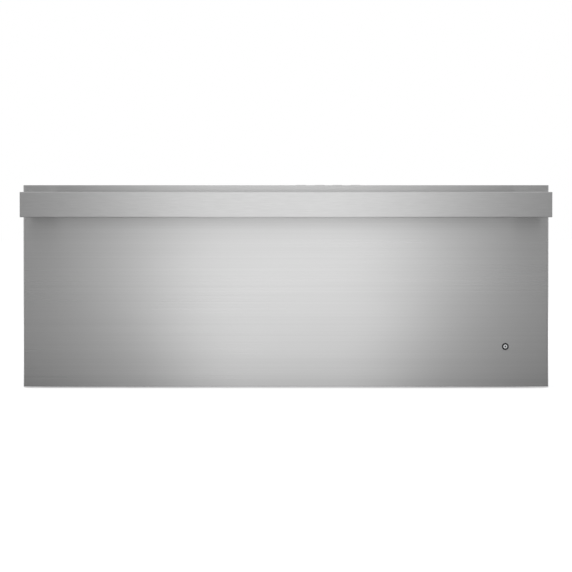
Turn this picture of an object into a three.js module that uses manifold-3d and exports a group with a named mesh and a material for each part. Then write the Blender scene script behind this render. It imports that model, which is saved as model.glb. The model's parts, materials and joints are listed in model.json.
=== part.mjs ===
// Built-in warming drawer: an insulated steel chassis with a heated liner, and a drawer on ball slides.
// Millimetres. X runs to the right, Y runs from the front panel back into the cabinet, Z runs up.
// Lengths along Y below are counted from the front face of the drawer's skin.

import * as THREE from "three";
import { mergeVertices } from "three/addons/utils/BufferGeometryUtils.js";
import Module from "manifold-3d";

const wasm = await Module();
wasm.setup();

// ---------------------------------------------------------------- driving sizes

const seat = 0.3; // gap left between two pieces that rest on each other

// Drawer front
const panelOverlap = 19; // past each side of the chassis
const panelHeight = 290;
const panelBottom = 2;
const skinSheet = 1.2;
const skinDepth = 22;
const skinBend = 3;
const innerPanelSheet = 1.2;
const innerPanelMargin = 4;
const gasketThickness = 4;
const gasketWidth = 12;
const gasketCorner = 10;

// Handle
const handleHeight = 36;
const handleThickness = 12;
const handleStandoff = 50;
const handleDrop = 10; // from the top of the panel to the top of the bar
const handleChamfer = 1;
const postWidth = 40;
const postHeight = 26;
const postInset = 9; // from the end of the bar to the post
const postCorner = 4;
const screwRadius = 3;
const screwHeadRadius = 5.5;
const screwHeadHeight = 3.5;
const screwGrip = 18;

// Indicator lamp
const lampFromRight = 62.4;
const lampFromBottom = 58;
const bezelRadius = 5;
const bezelWall = 1.9;
const bezelProud = 0.8;
const bezelSleeve = 1.1;
const sleeveLength = 4;
const lensProud = 0.5;
const lampBodyRadius = 4.4;
const lampBodyLength = 11;
const emitterRadius = 1;

// Chassis and liner
const chassisDepth = 540;
const chassisSheet = 1.2;
const flangeWidth = 14;
const flangeHoleRadius = 2.5;
const flangeHoleSpacing = 180;
const topFlangeHeight = 9;
const runnerHeight = 12;
const runnerWidth = 30;
const runnerInset = 40;
const runnerSheet = 2;
const runnerSetback = 12;
const linerSheet = 1;
const cavityWidth = 660;
const sideInsulation = 26.2;
const floorInsulation = 20;
const topInsulation = 24.5;
const backInsulation = 22;

// Slides
const slideLength = 500;
const slideHeight = 46;
const slideThickness = 12.7;
const slideSheet = 1.2;
const slideSetback = 4;
const slideFrontStep = 2.2; // the outer member stops this far short of the inner one's face
const slideLip = 1.5;
const ballShift = 1; // along the race, away from the web
const slideDrop = 6; // from the rail's ledge down to the slide
const ballRadius = 1.4;
const ballGap = 0.3; // running gap round the balls and cages
const ballsPerRow = 6;
const cageLength = 250;
const cageSheet = 0.6;

// Pan, rails and rack
const panDepth = 146;
const panLength = 500;
const panSheet = 1;
const panSetback = 12.5; // from the inner panel to the pan
const underPanSpace = 34;
const abovePanSpace = 25;
const rimWidth = 14;
const panCorner = 14;
const rimCorner = 6;
const railSheet = 1.5;
const railTabWidth = 24;
const rackWire = 1.8; // radius
const rackBarSpacing = 32;
const rackMargin = 10;
const rackFootHeight = 6;
const rackRunners = 5;

// Heater
const elementRadius = 3.5;
const elementBend = 28;
const elementHalfWidth = 220;
const elementTerminalSpacing = 60;
const elementFrontSpace = 80;
const elementBackSpace = 70;
const elementLift = 6; // clear height under the tube
const elementTail = 14; // past the back of the chassis
const elementSteps = 84;
const bracketWidth = 14;
const bracketSheet = 1.2;
const spreaderSheet = 1;
const spreaderHeight = 23;
const spreaderMargin = 28;
const spreaderFoot = 14;
const spreaderSlots = 7;
const spreaderSlotWidth = 5;
const spreaderSlotLength = 150;
const spreaderSlotSpacing = 190;
const probeRadius = 2;
const probeLength = 30;
const probeX = 150;
const probePlateWidth = 22;
const probePlateHeight = 10;
const probePlateSheet = 1.5;
const probeDrop = 6.5; // from the cavity's ceiling
const cutoutRadius = 9;
const cutoutHeight = 8;
const cutoutTab = 6;
const cutoutInset = 28;

// Rear compartments
const rearCoverWidth = 230;
const rearCoverHeight = 150;
const rearCoverDepth = 32;
const rearCoverBottom = 30;
const rearCoverCentre = -35;
const rearCoverLip = 10;
const louvreCount = 5;
const louvreLength = 90;
const louvreHeight = 4;
const louvrePitch = 12;
const boardInset = 15;
const transformerSize = { width: 34, height: 28, tall: 18 };
const relaySize = { width: 18, height: 24, tall: 14 };
const terminalSize = { width: 60, height: 10, tall: 11 };
const boardWidth = 120;
const boardHeight = 80;
const boardThickness = 1.6;
const standoffHeight = 6;
const standoffRadius = 3;
const wiringBoxSize = 96;
const wiringBoxDepth = 40;
const wiringBoxSheet = 1.5;
const wiringBoxGap = 30; // from the rear cover
const knockoutRadius = 11;

// Console
const consoleWidth = 300;
const consoleHeight = 26;
const consoleWall = 1.5;
const stripThickness = 2.4;
const keyCount = 4;
const keyWidth = 14;
const keyDepth = 10;
const keyProud = 1.4;
const keySpacing = 26;
const firstKeyX = 22;
const keyCollar = 1.2;
const keyCollarThickness = 1.2;
const keyStemRadius = 2;
const keyPlay = 0.3;
const keyTravel = 1;
const windowWidth = 64;
const windowDepth = 11;
const windowThickness = 1;
const windowLedge = 1.5;
const windowCentre = -62;
const keyBoardThickness = 1.6;
const switchHeight = 4;

// Vent
const ventSlots = 6;
const ventSlotWidth = 8;
const ventSlotHeight = 9;
const ventPitch = 18;
const ventDrop = 9; // from the cavity's ceiling to the slots
const shutterThickness = 1.2;
const shutterMargin = 5;
const guideSheet = 1;
const guideLip = 2.5;
const knobWidth = 9;
const knobDepth = 5;
const knobHeight = 8;

// Cutting tools run this far past the faces that they cut
const overshoot = 1;

// Smoothness of round shapes
const fewSides = 8;
const wireSides = 6;
const roundSides = 24;

// ---------------------------------------------------------------- places worked out from the sizes

// Two levels along one axis: a start and the thickness that follows it
const span = (start, thickness) => [start, start + thickness];
const about = (centre, width) => [centre - width / 2, centre + width / 2];
const across = (half) => [-half, half];
const grown = ([low, high], margin) => [low - margin, high + margin];
const middle = ([low, high]) => (low + high) / 2;

// Chassis, from its middle plane outwards
const cavityHalf = cavityWidth / 2;
const linerHalf = cavityHalf + linerSheet;
const sideInsulationX = span(linerHalf + seat, sideInsulation);
const betweenSidesHalf = sideInsulationX[1];
const chassisHalf = betweenSidesHalf + seat + chassisSheet;

// Front assembly, from its face back to the chassis
const panelTop = panelBottom + panelHeight;
const panelHalf = chassisHalf + panelOverlap;
const panelX = across(panelHalf);
const innerPanelY = span(skinDepth + seat, innerPanelSheet);
const gasketY = span(innerPanelY[1] + seat, gasketThickness);
const flangeY = gasketY[1] + seat;

// Handle
const barY = [-handleStandoff - handleThickness, -handleStandoff];
const barZ = [panelTop - handleDrop - handleHeight, panelTop - handleDrop];
const postCentreX = panelHalf - postInset - postWidth / 2;
const postCentreZ = middle(barZ);

// Chassis, from the flange to the back
const chassisBackY = flangeY + chassisDepth;
const backSheetY = [chassisBackY - chassisSheet, chassisBackY];
const backInsulationY = [backSheetY[0] - seat - backInsulation, backSheetY[0] - seat];
const linerBackY = [backInsulationY[0] - seat - linerSheet, backInsulationY[0] - seat];
const rearY = chassisBackY + seat;

// Chassis, from the runners to the top
const baseZ = span(runnerHeight + seat, chassisSheet);
const floorInsulationZ = span(baseZ[1] + seat, floorInsulation);
const linerFloorZ = span(floorInsulationZ[1] + seat, linerSheet);
const panBottomZ = linerFloorZ[1] + underPanSpace;
const rimZ = [panBottomZ + panDepth - panSheet, panBottomZ + panDepth];
const ceilingZ = rimZ[1] + abovePanSpace;
const linerTopZ = span(ceilingZ, linerSheet);
const topInsulationZ = span(linerTopZ[1] + seat, topInsulation);
const chassisTopZ = span(topInsulationZ[1] + seat, chassisSheet);

// Slides and rails
const slideX = [cavityHalf - seat - slideThickness, cavityHalf - seat];
const slideY = span(flangeY + slideSetback, slideLength);
const railX = [slideX[0] - seat - railSheet, slideX[0] - seat];

// Pan
const panY = span(innerPanelY[1] + panSetback, panLength);
const rimHalf = railX[1];
const wellHalf = rimHalf - rimWidth;
const wellY = [panY[0] + rimWidth, panY[1] - rimWidth];
const railTopZ = rimZ[0] - seat;
const slideCentreZ = railTopZ - railSheet - slideDrop - slideHeight / 2;
const slideZ = about(slideCentreZ, slideHeight);

// Heater
const elementZ = linerFloorZ[1] + elementLift + elementRadius;
const elementFrontY = flangeY + elementFrontSpace;
const elementBackY = linerBackY[0] - elementBackSpace;
const elementEndY = rearY + elementTail;
const spreaderTopZ = span(linerFloorZ[1] + seat + spreaderHeight - spreaderSheet, spreaderSheet);

// Rear compartments
const rearCoverX = about(rearCoverCentre, rearCoverWidth);
const rearCoverZ = span(rearCoverBottom, rearCoverHeight);
const wiringBoxX = span(rearCoverX[1] + rearCoverLip + wiringBoxGap, wiringBoxSize);
const wiringBoxZ = span(rearCoverBottom, wiringBoxSize);
const wiringCoverY = span(rearY + wiringBoxDepth + seat, wiringBoxSheet);

// Console
const consoleX = about(0, consoleWidth);
const consoleY = [skinSheet + seat, skinDepth];
const stripZ = [panelTop - stripThickness, panelTop];
const housingZ = [panelTop - consoleHeight, stripZ[0] - seat];
const keyRowY = middle(consoleY);
const keyBoardZ = span(housingZ[0] + consoleWall + seat, keyBoardThickness);
const switchTopZ = keyBoardZ[1] + switchHeight;
const keyCentres = Array.from({ length: keyCount }, (_, index) => firstKeyX + index * keySpacing);

// Indicator lamp
const lampX = panelX[1] - lampFromRight;
const lampZ = panelBottom + lampFromBottom;
const lampCentre = [lampX, lampZ];
const boreRadius = bezelRadius - bezelWall;
const sleeveRadius = boreRadius + bezelSleeve;
const sleeveEndY = skinSheet + sleeveLength;

// Vent
const ventZ = [ceilingZ - ventDrop - ventSlotHeight, ceilingZ - ventDrop];
const ventCentres = Array.from({ length: ventSlots },
  (_, index) => (index - (ventSlots - 1) / 2) * ventPitch);
const shutterY = span(innerPanelY[1] + seat, shutterThickness);
const shutterHalf = ventCentres.at(-1) + ventSlotWidth / 2 + shutterMargin;
const shutterZ = grown(ventZ, shutterMargin);

// ---------------------------------------------------------------- materials

function finish(color, roughness, metalness) {
  return new THREE.MeshStandardMaterial({ color, roughness, metalness });
}

const brushedSteel = finish(0xc4c4c4, 0.32, 1);
const galvanisedSteel = finish(0xa9adb0, 0.45, 1);
const linerSteel = finish(0x9a9c9d, 0.4, 1);
const slideSteel = finish(0xb9bcc0, 0.3, 1);
const screwSteel = finish(0x8f9194, 0.35, 1);
const mineralWool = finish(0xd9cfae, 0.95, 0);
const rubberSeal = finish(0x3a3a3a, 0.8, 0);
const blackPlastic = finish(0x202020, 0.5, 0);
const gloss = finish(0x0c0c0e, 0.12, 0);
const keyPlastic = finish(0x6d6f72, 0.4, 0);
const circuitBoard = finish(0x1f5c36, 0.5, 0);
const lensPlastic = finish(0xd8dadb, 0.2, 0);
const elementSheath = finish(0x4c4a48, 0.5, 1);
const cagePlastic = finish(0xd6d2c4, 0.5, 0);

// ---------------------------------------------------------------- shapes

// A block between two corners; a range may be given either way round.
function block(xs, ys, zs) {
  const ranges = [xs, ys, zs];
  const geometry = new THREE.BoxGeometry(...ranges.map(([from, to]) => Math.abs(to - from)));
  return geometry.translate(...ranges.map(middle));
}

// A round bar along "x", "y" or "z" through a point in the plane across it.
function rod(axis, [first, second], [from, to], radius, sides = roundSides) {
  const geometry = new THREE.CylinderGeometry(radius, radius, Math.abs(to - from), sides);
  const centre = (from + to) / 2;
  if (axis === "x") {
    return geometry.rotateZ(Math.PI / 2).translate(centre, first, second);
  }
  if (axis === "y") {
    return geometry.translate(first, centre, second);
  }
  return geometry.rotateX(Math.PI / 2).translate(first, second, centre);
}

// A closed geometry as a solid that can be joined and cut
function solid(geometry) {
  const bare = geometry.clone();
  bare.deleteAttribute("normal");
  bare.deleteAttribute("uv");
  const { attributes, index } = mergeVertices(bare, 1e-4);
  const vertProperties = new Float32Array(attributes.position.array);
  const triVerts = new Uint32Array(index.array);
  return new wasm.Manifold(new wasm.Mesh({ numProp: 3, vertProperties, triVerts }));
}

function fromSolid(whole) {
  const { vertProperties, triVerts } = whole.getMesh();
  const geometry = new THREE.BufferGeometry();
  geometry.setAttribute("position", new THREE.BufferAttribute(new Float32Array(vertProperties), 3));
  geometry.setIndex(new THREE.BufferAttribute(new Uint32Array(triVerts), 1));
  geometry.computeVertexNormals();
  return geometry;
}

function join(first, ...others) {
  return fromSolid(others.reduce((whole, other) => whole.add(solid(other)), solid(first)));
}

function cut(first, ...tools) {
  return fromSolid(tools.reduce((whole, tool) => whole.subtract(solid(tool)), solid(first)));
}

// A block in plan with two rounded front corners, as sheet metal bends round a front's side edges
function bentBlock([left, right], [front, back], zs, radius) {
  const outline = new THREE.Shape();
  outline.moveTo(left, back);
  outline.lineTo(left, front + radius);
  outline.absarc(left + radius, front + radius, radius, Math.PI, 1.5 * Math.PI, false);
  outline.lineTo(right - radius, front);
  outline.absarc(right - radius, front + radius, radius, 1.5 * Math.PI, 2 * Math.PI, false);
  outline.lineTo(right, back);
  const depth = zs[1] - zs[0];
  return new THREE.ExtrudeGeometry(outline, { depth, bevelEnabled: false, curveSegments: 6 })
    .translate(0, 0, zs[0]);
}

// A rectangle with round corners
function roundedOutline([left, right], [low, high], radius) {
  const outline = new THREE.Shape();
  outline.moveTo(left + radius, low);
  outline.absarc(right - radius, low + radius, radius, -Math.PI / 2, 0, false);
  outline.absarc(right - radius, high - radius, radius, 0, Math.PI / 2, false);
  outline.absarc(left + radius, high - radius, radius, Math.PI / 2, Math.PI, false);
  outline.absarc(left + radius, low + radius, radius, Math.PI, 1.5 * Math.PI, false);
  return outline;
}

// An outline of [x, z] corners run along Y
function alongY(corners, ys) {
  const outline = new THREE.Shape(corners.map(([x, z]) => new THREE.Vector2(x, -z)));
  return new THREE.ExtrudeGeometry(outline, { depth: ys[1] - ys[0], bevelEnabled: false })
    .rotateX(-Math.PI / 2)
    .translate(0, ys[0], 0);
}

// A post or plug with round corners, lying along Y
function roundedAlongY(xs, ys, zs, radius, curveSegments = 5) {
  const outline = roundedOutline(xs, [-zs[1], -zs[0]], radius);
  return new THREE.ExtrudeGeometry(outline, { depth: ys[1] - ys[0], bevelEnabled: false, curveSegments })
    .rotateX(-Math.PI / 2)
    .translate(0, ys[0], 0);
}

// A block whose front and back faces have chamfered edges
function chamferedBlock(xs, ys, zs, chamfer) {
  const outline = new THREE.Shape();
  const [left, right] = grown(xs, -chamfer);
  const [low, high] = grown([-zs[1], -zs[0]], -chamfer);
  outline.moveTo(left, low).lineTo(right, low).lineTo(right, high).lineTo(left, high).closePath();
  const bevel = { bevelThickness: chamfer, bevelSize: chamfer, bevelSegments: 1 };
  return new THREE.ExtrudeGeometry(outline, { depth: ys[1] - ys[0] - 2 * chamfer, ...bevel })
    .rotateX(-Math.PI / 2)
    .translate(0, ys[0] + chamfer, 0);
}

// A slab in plan with round corners
function roundedSlab(xs, ys, zs, radius, curveSegments = 4) {
  return new THREE.ExtrudeGeometry(roundedOutline(xs, ys, radius), {
    depth: zs[1] - zs[0], bevelEnabled: false, curveSegments,
  }).translate(0, 0, zs[0]);
}

// A route through corner points, with each corner turned in a bend
function bentRoute(corners, radius) {
  const route = new THREE.CurvePath();
  let from = corners[0];
  for (let index = 1; index < corners.length - 1; index += 1) {
    const corner = corners[index];
    const [start, end] = [corners[index - 1], corners[index + 1]].map((other) =>
      corner.clone().addScaledVector(other.clone().sub(corner).normalize(), radius));
    route.add(new THREE.LineCurve3(from, start));
    route.add(new THREE.QuadraticBezierCurve3(start, corner, end));
    from = end;
  }
  route.add(new THREE.LineCurve3(from, corners.at(-1)));
  return route;
}

// ---------------------------------------------------------------- chassis

const chassisZ = [baseZ[0], chassisTopZ[1]];
const chassisY = [flangeY, chassisBackY];
const flangeSheetY = span(flangeY, chassisSheet);
const linerFlangeY = span(flangeY, linerSheet);
const betweenSheetsZ = [baseZ[1] + seat, chassisTopZ[0] - seat];
const linerWallZ = [linerFloorZ[1] + seat, linerTopZ[0] - seat];
const insulationY = [linerFlangeY[1] + seat, backSheetY[0] - seat];

function chassisSide(side) {
  const inner = side * (chassisHalf - chassisSheet);
  const wall = block([inner, side * chassisHalf], chassisY, chassisZ);
  const flange = block([inner, side * (chassisHalf + flangeWidth)], flangeSheetY, chassisZ);
  const holeX = side * (chassisHalf + flangeWidth / 2);
  const holes = about(middle(chassisZ), flangeHoleSpacing).map((z) =>
    rod("y", [holeX, z], grown(flangeSheetY, overshoot), flangeHoleRadius, fewSides));
  return cut(join(wall, flange), ...holes);
}

function chassisTop() {
  const sheet = block(across(betweenSidesHalf), chassisY, chassisTopZ);
  const flangeZ = [chassisTopZ[0], chassisTopZ[1] + topFlangeHeight];
  return join(sheet, block(across(betweenSidesHalf), flangeSheetY, flangeZ));
}

// Bores for the two cold ends of the heating element
function elementBores(ys) {
  return about(0, elementTerminalSpacing).map((x) =>
    rod("y", [x, elementZ], grown(ys, overshoot), elementRadius + seat, 2 * fewSides));
}

function chassisBack() {
  return cut(block(across(betweenSidesHalf), backSheetY, betweenSheetsZ), ...elementBores(backSheetY));
}

// A channel open towards the middle of the chassis, its sole on the cabinet's shelf
function runner(side) {
  const outer = side * (chassisHalf - runnerInset);
  const inner = outer - side * runnerWidth;
  const ys = grown(chassisY, -runnerSetback);
  const channel = block([inner, outer], ys, [0, runnerHeight]);
  const hollow = block([inner - side * overshoot, outer - side * runnerSheet], grown(ys, overshoot),
    [runnerSheet, runnerHeight - runnerSheet]);
  return cut(channel, hollow);
}

// ---------------------------------------------------------------- liner and insulation

function linerFloor() {
  const sheet = block(across(linerHalf), [flangeY, linerBackY[1]], linerFloorZ);
  const flange = block(across(betweenSidesHalf), linerFlangeY, [betweenSheetsZ[0], linerFloorZ[1]]);
  return join(sheet, flange);
}

function linerSide(side) {
  const wall = block([side * cavityHalf, side * linerHalf], [flangeY, linerBackY[0] - seat], linerWallZ);
  const flange = block([side * cavityHalf, side * betweenSidesHalf], linerFlangeY, linerWallZ);
  return join(wall, flange);
}

function linerTop() {
  const sheet = block(across(linerHalf), [flangeY, linerBackY[1]], linerTopZ);
  const flange = block(across(betweenSidesHalf), linerFlangeY, [linerTopZ[0], betweenSheetsZ[1]]);
  return join(sheet, flange);
}

function linerBack() {
  return cut(block(across(linerHalf), linerBackY, linerWallZ), ...elementBores(linerBackY));
}

// One blanket up both sides and under the floor
function insulationWrap() {
  const blanket = block(across(betweenSidesHalf), insulationY, betweenSheetsZ);
  const inside = [floorInsulationZ[1], betweenSheetsZ[1] + overshoot];
  return cut(blanket, block(across(sideInsulationX[0]), grown(insulationY, overshoot), inside));
}

function insulationBack() {
  const slab = block(across(linerHalf), backInsulationY, [linerFloorZ[0], linerTopZ[1]]);
  return cut(slab, ...elementBores(backInsulationY));
}

// ---------------------------------------------------------------- heater

// A sheathed tube bent into one loop, with both ends run out through the back
function heatingElement() {
  const point = (x, y) => new THREE.Vector3(x, y, elementZ);
  const tail = elementTerminalSpacing / 2;
  const half = [
    point(tail, elementEndY),
    point(tail, elementBackY),
    point(elementHalfWidth, elementBackY),
    point(elementHalfWidth, elementFrontY),
  ];
  const otherHalf = half.map(({ x, y }) => point(-x, y)).reverse();
  const section = new THREE.Shape().absarc(0, 0, elementRadius, 0, 2 * Math.PI, false);
  const extrudePath = bentRoute([...half, ...otherHalf], elementBend);
  const options = { extrudePath, steps: elementSteps, curveSegments: fewSides / 2 };
  return new THREE.ExtrudeGeometry(section, options);
}

// A low channel that carries the loop's two sides
function elementBracket(y) {
  const zs = [linerFloorZ[1] + seat, elementZ - elementRadius - seat];
  const reach = across(elementHalfWidth + bracketWidth);
  const channel = block(reach, about(y, bracketWidth), zs);
  const hollow = block(grown(reach, overshoot), about(y, bracketWidth - 2 * bracketSheet),
    [zs[0] - overshoot, zs[1] - bracketSheet]);
  return cut(channel, hollow);
}

// A slotted plate over the element, on two legs that stand on the liner's floor
function heatSpreader() {
  const plateHalf = cavityHalf - spreaderMargin - spreaderFoot;
  const ys = [flangeY + spreaderMargin, linerBackY[0] - spreaderMargin];
  const footZ = span(linerFloorZ[1] + seat, spreaderSheet);
  const [bottom, top] = [footZ[0], spreaderTopZ[1]];
  const rightHalf = [
    [plateHalf + spreaderFoot, bottom],
    [plateHalf + spreaderFoot, footZ[1]],
    [plateHalf, footZ[1]],
    [plateHalf, top],
  ];
  const rightInside = [
    [plateHalf - spreaderSheet, spreaderTopZ[0]],
    [plateHalf - spreaderSheet, bottom],
  ];
  const mirrored = (points) => points.map(([x, z]) => [-x, z]).reverse();
  const outline = [...rightHalf, ...mirrored(rightHalf), ...mirrored(rightInside), ...rightInside];
  const slotPitch = 2 * plateHalf / (spreaderSlots + 1);
  const slots = Array.from({ length: spreaderSlots }, (_, index) =>
    about(middle(ys), spreaderSlotSpacing).map((y) =>
      block(about((index + 1) * slotPitch - plateHalf, spreaderSlotWidth), about(y, spreaderSlotLength),
        grown(spreaderTopZ, overshoot)))).flat();
  return cut(alongY(outline, ys), ...slots);
}

function temperatureProbe() {
  const backFace = linerBackY[0] - seat;
  const z = ceilingZ - probeDrop;
  const plateY = [backFace - probePlateSheet, backFace];
  const plate = block(about(probeX, probePlateWidth), plateY, about(z, probePlateHeight));
  const stem = rod("y", [probeX, z], [plateY[0] - probeLength, plateY[1] - seat], probeRadius, fewSides);
  return join(plate, stem);
}

// ---------------------------------------------------------------- rear compartments

function thermalCutout() {
  const centre = [rearCoverX[1] - cutoutInset, middle(rearCoverZ)];
  const can = rod("y", centre, span(rearY, cutoutHeight), cutoutRadius, 2 * fewSides);
  const ears = block(about(centre[0], 2 * (cutoutRadius + cutoutTab)), span(rearY, chassisSheet),
    about(centre[1], cutoutRadius));
  return join(can, ears);
}

// The board stands on four posts, with a transformer, two relays and a terminal block on it
function powerBoard() {
  const xs = span(rearCoverX[0] + boardInset, boardWidth);
  const zs = [rearCoverZ[1] - boardInset - boardHeight, rearCoverZ[1] - boardInset];
  const boardY = span(rearY + standoffHeight, boardThickness);
  const posts = grown(xs, -2 * standoffRadius).flatMap((x) => grown(zs, -2 * standoffRadius).map((z) =>
    rod("y", [x, z], [rearY, boardY[1]], standoffRadius, fewSides)));
  const part = (alongX, alongZ, { width, height, tall }) =>
    block(about(xs[0] + alongX * boardWidth, width), [boardY[0] + seat, boardY[1] + tall],
      about(zs[0] + alongZ * boardHeight, height));
  const transformer = part(0.25, 0.6, transformerSize);
  const relays = [0.55, 0.8].map((alongX) => part(alongX, 0.66, relaySize));
  const terminals = part(0.55, 0.17, terminalSize);
  return join(block(xs, boardY, zs), ...posts, transformer, ...relays, terminals);
}

// A pressed tray with a lip all round and a row of louvre slots
function rearCover() {
  const ys = span(rearY, rearCoverDepth);
  const lip = block(grown(rearCoverX, rearCoverLip), span(rearY, chassisSheet),
    grown(rearCoverZ, rearCoverLip));
  const hollow = block(grown(rearCoverX, -chassisSheet), [rearY - overshoot, ys[1] - chassisSheet],
    grown(rearCoverZ, -chassisSheet));
  const slots = Array.from({ length: louvreCount }, (_, index) =>
    block(about(middle(rearCoverX), louvreLength), grown(ys, overshoot),
      about(middle(rearCoverZ) + (index - (louvreCount - 1) / 2) * louvrePitch, louvreHeight)));
  return cut(join(block(rearCoverX, ys, rearCoverZ), lip), hollow, ...slots);
}

// Open at the back for wiring, with a knock-out for a conduit in its right side
function wiringBox() {
  const ys = span(rearY, wiringBoxDepth);
  const hollow = block(grown(wiringBoxX, -wiringBoxSheet), [ys[0] + wiringBoxSheet, ys[1] + overshoot],
    grown(wiringBoxZ, -wiringBoxSheet));
  const knockout = rod("x", [middle(ys), middle(wiringBoxZ)],
    [wiringBoxX[1] - wiringBoxSheet - overshoot, wiringBoxX[1] + overshoot], knockoutRadius, 2 * fewSides);
  return cut(block(wiringBoxX, ys, wiringBoxZ), hollow, knockout);
}

// ---------------------------------------------------------------- slides

// Each slide nests three channels. Depth is counted from the liner's wall towards the drawer,
// and half heights from the slide's middle.
const raceGap = 2 * (ballRadius + ballGap);
const outerHalfHeight = slideHeight / 2;
const middleHalfHeight = outerHalfHeight - slideSheet - raceGap;
const innerHalfHeight = middleHalfHeight - slideSheet - raceGap;
const outerCageDepth = slideSheet + ballGap;
const middleDepth = outerCageDepth + cageSheet + ballGap;
const innerCageDepth = middleDepth + slideSheet + ballGap;
const innerFlangeDepth = innerCageDepth + cageSheet + ballGap;
const outerReach = slideThickness - slideFrontStep;
const middleReach = slideThickness - slideSheet - ballGap;
const outerBallDepth = middleDepth + slideSheet + ballRadius + ballShift;
const innerBallDepth = innerFlangeDepth + ballRadius + ballShift;

function slideStrip(side, depths, heights, ys) {
  const xs = depths.map((depth) => side * (slideX[1] - depth));
  return block(xs, ys, heights.map((height) => slideCentreZ + height));
}

// A web with a flange above and below, both `thickness` thick
function slideChannel(side, [webDepth, farDepth], webSide, halfHeight, thickness, ys) {
  const flangeDepths = webSide === "wall" ? [webDepth, farDepth] : [farDepth, webDepth + thickness];
  const flanges = [-1, 1].map((end) =>
    slideStrip(side, flangeDepths, [end * (halfHeight - thickness), end * halfHeight], ys));
  return join(slideStrip(side, span(webDepth, thickness), across(halfHeight), ys), ...flanges);
}

function outerMember(side) {
  const channel = slideChannel(side, [0, outerReach], "wall", outerHalfHeight, slideSheet, slideY);
  const lips = [-1, 1].map((end) => slideStrip(side, [outerReach - slideSheet, outerReach],
    [end * (outerHalfHeight - slideSheet - slideLip), end * outerHalfHeight], slideY));
  return join(channel, ...lips);
}

function middleMember(side) {
  return slideChannel(side, [middleDepth, middleReach], "wall", middleHalfHeight, slideSheet, slideY);
}

function innerMember(side) {
  const webDepth = slideThickness - slideSheet;
  return slideChannel(side, [webDepth, innerFlangeDepth], "drawer", innerHalfHeight, slideSheet, slideY);
}

// A strip bent round the inner channel, with a row of balls above and one below
function ballCage(side, webDepth, ballDepth, aroundHalfHeight) {
  const raceHeight = aroundHalfHeight + raceGap / 2;
  const ys = about(middle(slideY), cageLength);
  const reach = ballDepth + ballRadius + cageSheet;
  const strip = slideChannel(side, [webDepth, reach], "wall", raceHeight + cageSheet / 2, cageSheet, ys);
  const pitch = cageLength / ballsPerRow;
  const balls = [-1, 1].flatMap((end) => Array.from({ length: ballsPerRow }, (_, index) =>
    new THREE.SphereGeometry(ballRadius, wireSides, wireSides / 2).translate(
      side * (slideX[1] - ballDepth), ys[0] + (index + 0.5) * pitch, slideCentreZ + end * raceHeight)));
  return join(strip, ...balls);
}

// ---------------------------------------------------------------- drawer front

const screwBoreRadius = screwRadius + seat;
const screwHeadY = span(skinSheet + seat, screwHeadHeight);
const postCentres = [-1, 1].map((side) => side * postCentreX);
const frontInsulationZ = [
  panelBottom + skinSheet + seat,
  Math.min(housingZ[0], postCentreZ - screwHeadRadius) - seat,
];

// A sheet folded back on all four sides, cut out at the top for the console
function frontSkin() {
  const zs = [panelBottom, panelTop];
  const folded = bentBlock(panelX, [0, skinDepth], zs, skinBend);
  const hollow = bentBlock(grown(panelX, -skinSheet), [skinSheet, skinDepth + overshoot],
    grown(zs, -skinSheet), skinBend - skinSheet);
  const consoleSlot = block(grown(consoleX, seat), [skinSheet, skinDepth + overshoot],
    [housingZ[0], panelTop + overshoot]);
  const through = grown([0, skinSheet], overshoot);
  const screwBores = postCentres.map((x) =>
    rod("y", [x, postCentreZ], through, screwBoreRadius, 2 * fewSides));
  const lampBore = rod("y", lampCentre, through, sleeveRadius + seat);
  return cut(folded, hollow, consoleSlot, ...screwBores, lampBore);
}

// The sheet that closes the skin, with vent slots and two guides for the shutter
function innerPanel() {
  const xs = grown(panelX, -innerPanelMargin);
  const sheet = block(xs, innerPanelY, grown([panelBottom, panelTop], -innerPanelMargin));
  const lipY = span(shutterY[1] + seat, guideSheet);
  const guides = [-1, 1].flatMap((end) => {
    const edge = end < 0 ? shutterZ[0] - seat : shutterZ[1] + seat;
    return [
      block(across(shutterHalf), [innerPanelY[0], lipY[1]], [edge, edge + end * guideSheet]),
      block(across(shutterHalf), lipY, [edge - end * guideLip, edge + end * guideSheet]),
    ];
  });
  return cut(join(sheet, ...guides), ...ventOpenings(innerPanelY));
}

function ventOpenings(ys) {
  return ventCentres.map((x) => block(about(x, ventSlotWidth), grown(ys, overshoot), ventZ));
}

function frontInsulation() {
  const pad = block(grown(panelX, -skinSheet - skinBend), consoleY, frontInsulationZ);
  const airWay = block(across(shutterHalf), [middle(consoleY), skinDepth + overshoot],
    [shutterZ[0], frontInsulationZ[1] + overshoot]);
  const lampBore = rod("y", lampCentre, grown(consoleY, overshoot), lampBodyRadius + seat, 2 * fewSides);
  return cut(pad, airWay, lampBore);
}

// One loop that meets the liner's flange when the drawer is shut
function gasket() {
  const centreX = (linerHalf + chassisHalf) / 2;
  const centreZ = [(baseZ[1] + linerFloorZ[0]) / 2, (linerTopZ[1] + chassisTopZ[0]) / 2];
  const loop = (margin, ys, radius) =>
    roundedAlongY(grown(across(centreX), margin), ys, grown(centreZ, margin), radius);
  const outer = loop(gasketWidth / 2, gasketY, gasketCorner + gasketWidth);
  return cut(outer, loop(-gasketWidth / 2, grown(gasketY, overshoot), gasketCorner));
}

function handleBar() {
  return chamferedBlock(panelX, barY, barZ, handleChamfer);
}

function handlePost(x) {
  const post = roundedAlongY(about(x, postWidth), [barY[1] + seat, -seat], about(postCentreZ, postHeight),
    postCorner);
  const bore = rod("y", [x, postCentreZ], [-screwGrip - seat, overshoot], screwBoreRadius, 2 * fewSides);
  return cut(post, bore);
}

function handleScrew(x) {
  const centre = [x, postCentreZ];
  const head = rod("y", centre, screwHeadY, screwHeadRadius, 2 * fewSides);
  return join(head, rod("y", centre, [-screwGrip, screwHeadY[1] - seat], screwRadius, 2 * fewSides));
}

// ---------------------------------------------------------------- indicator lamp

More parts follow.
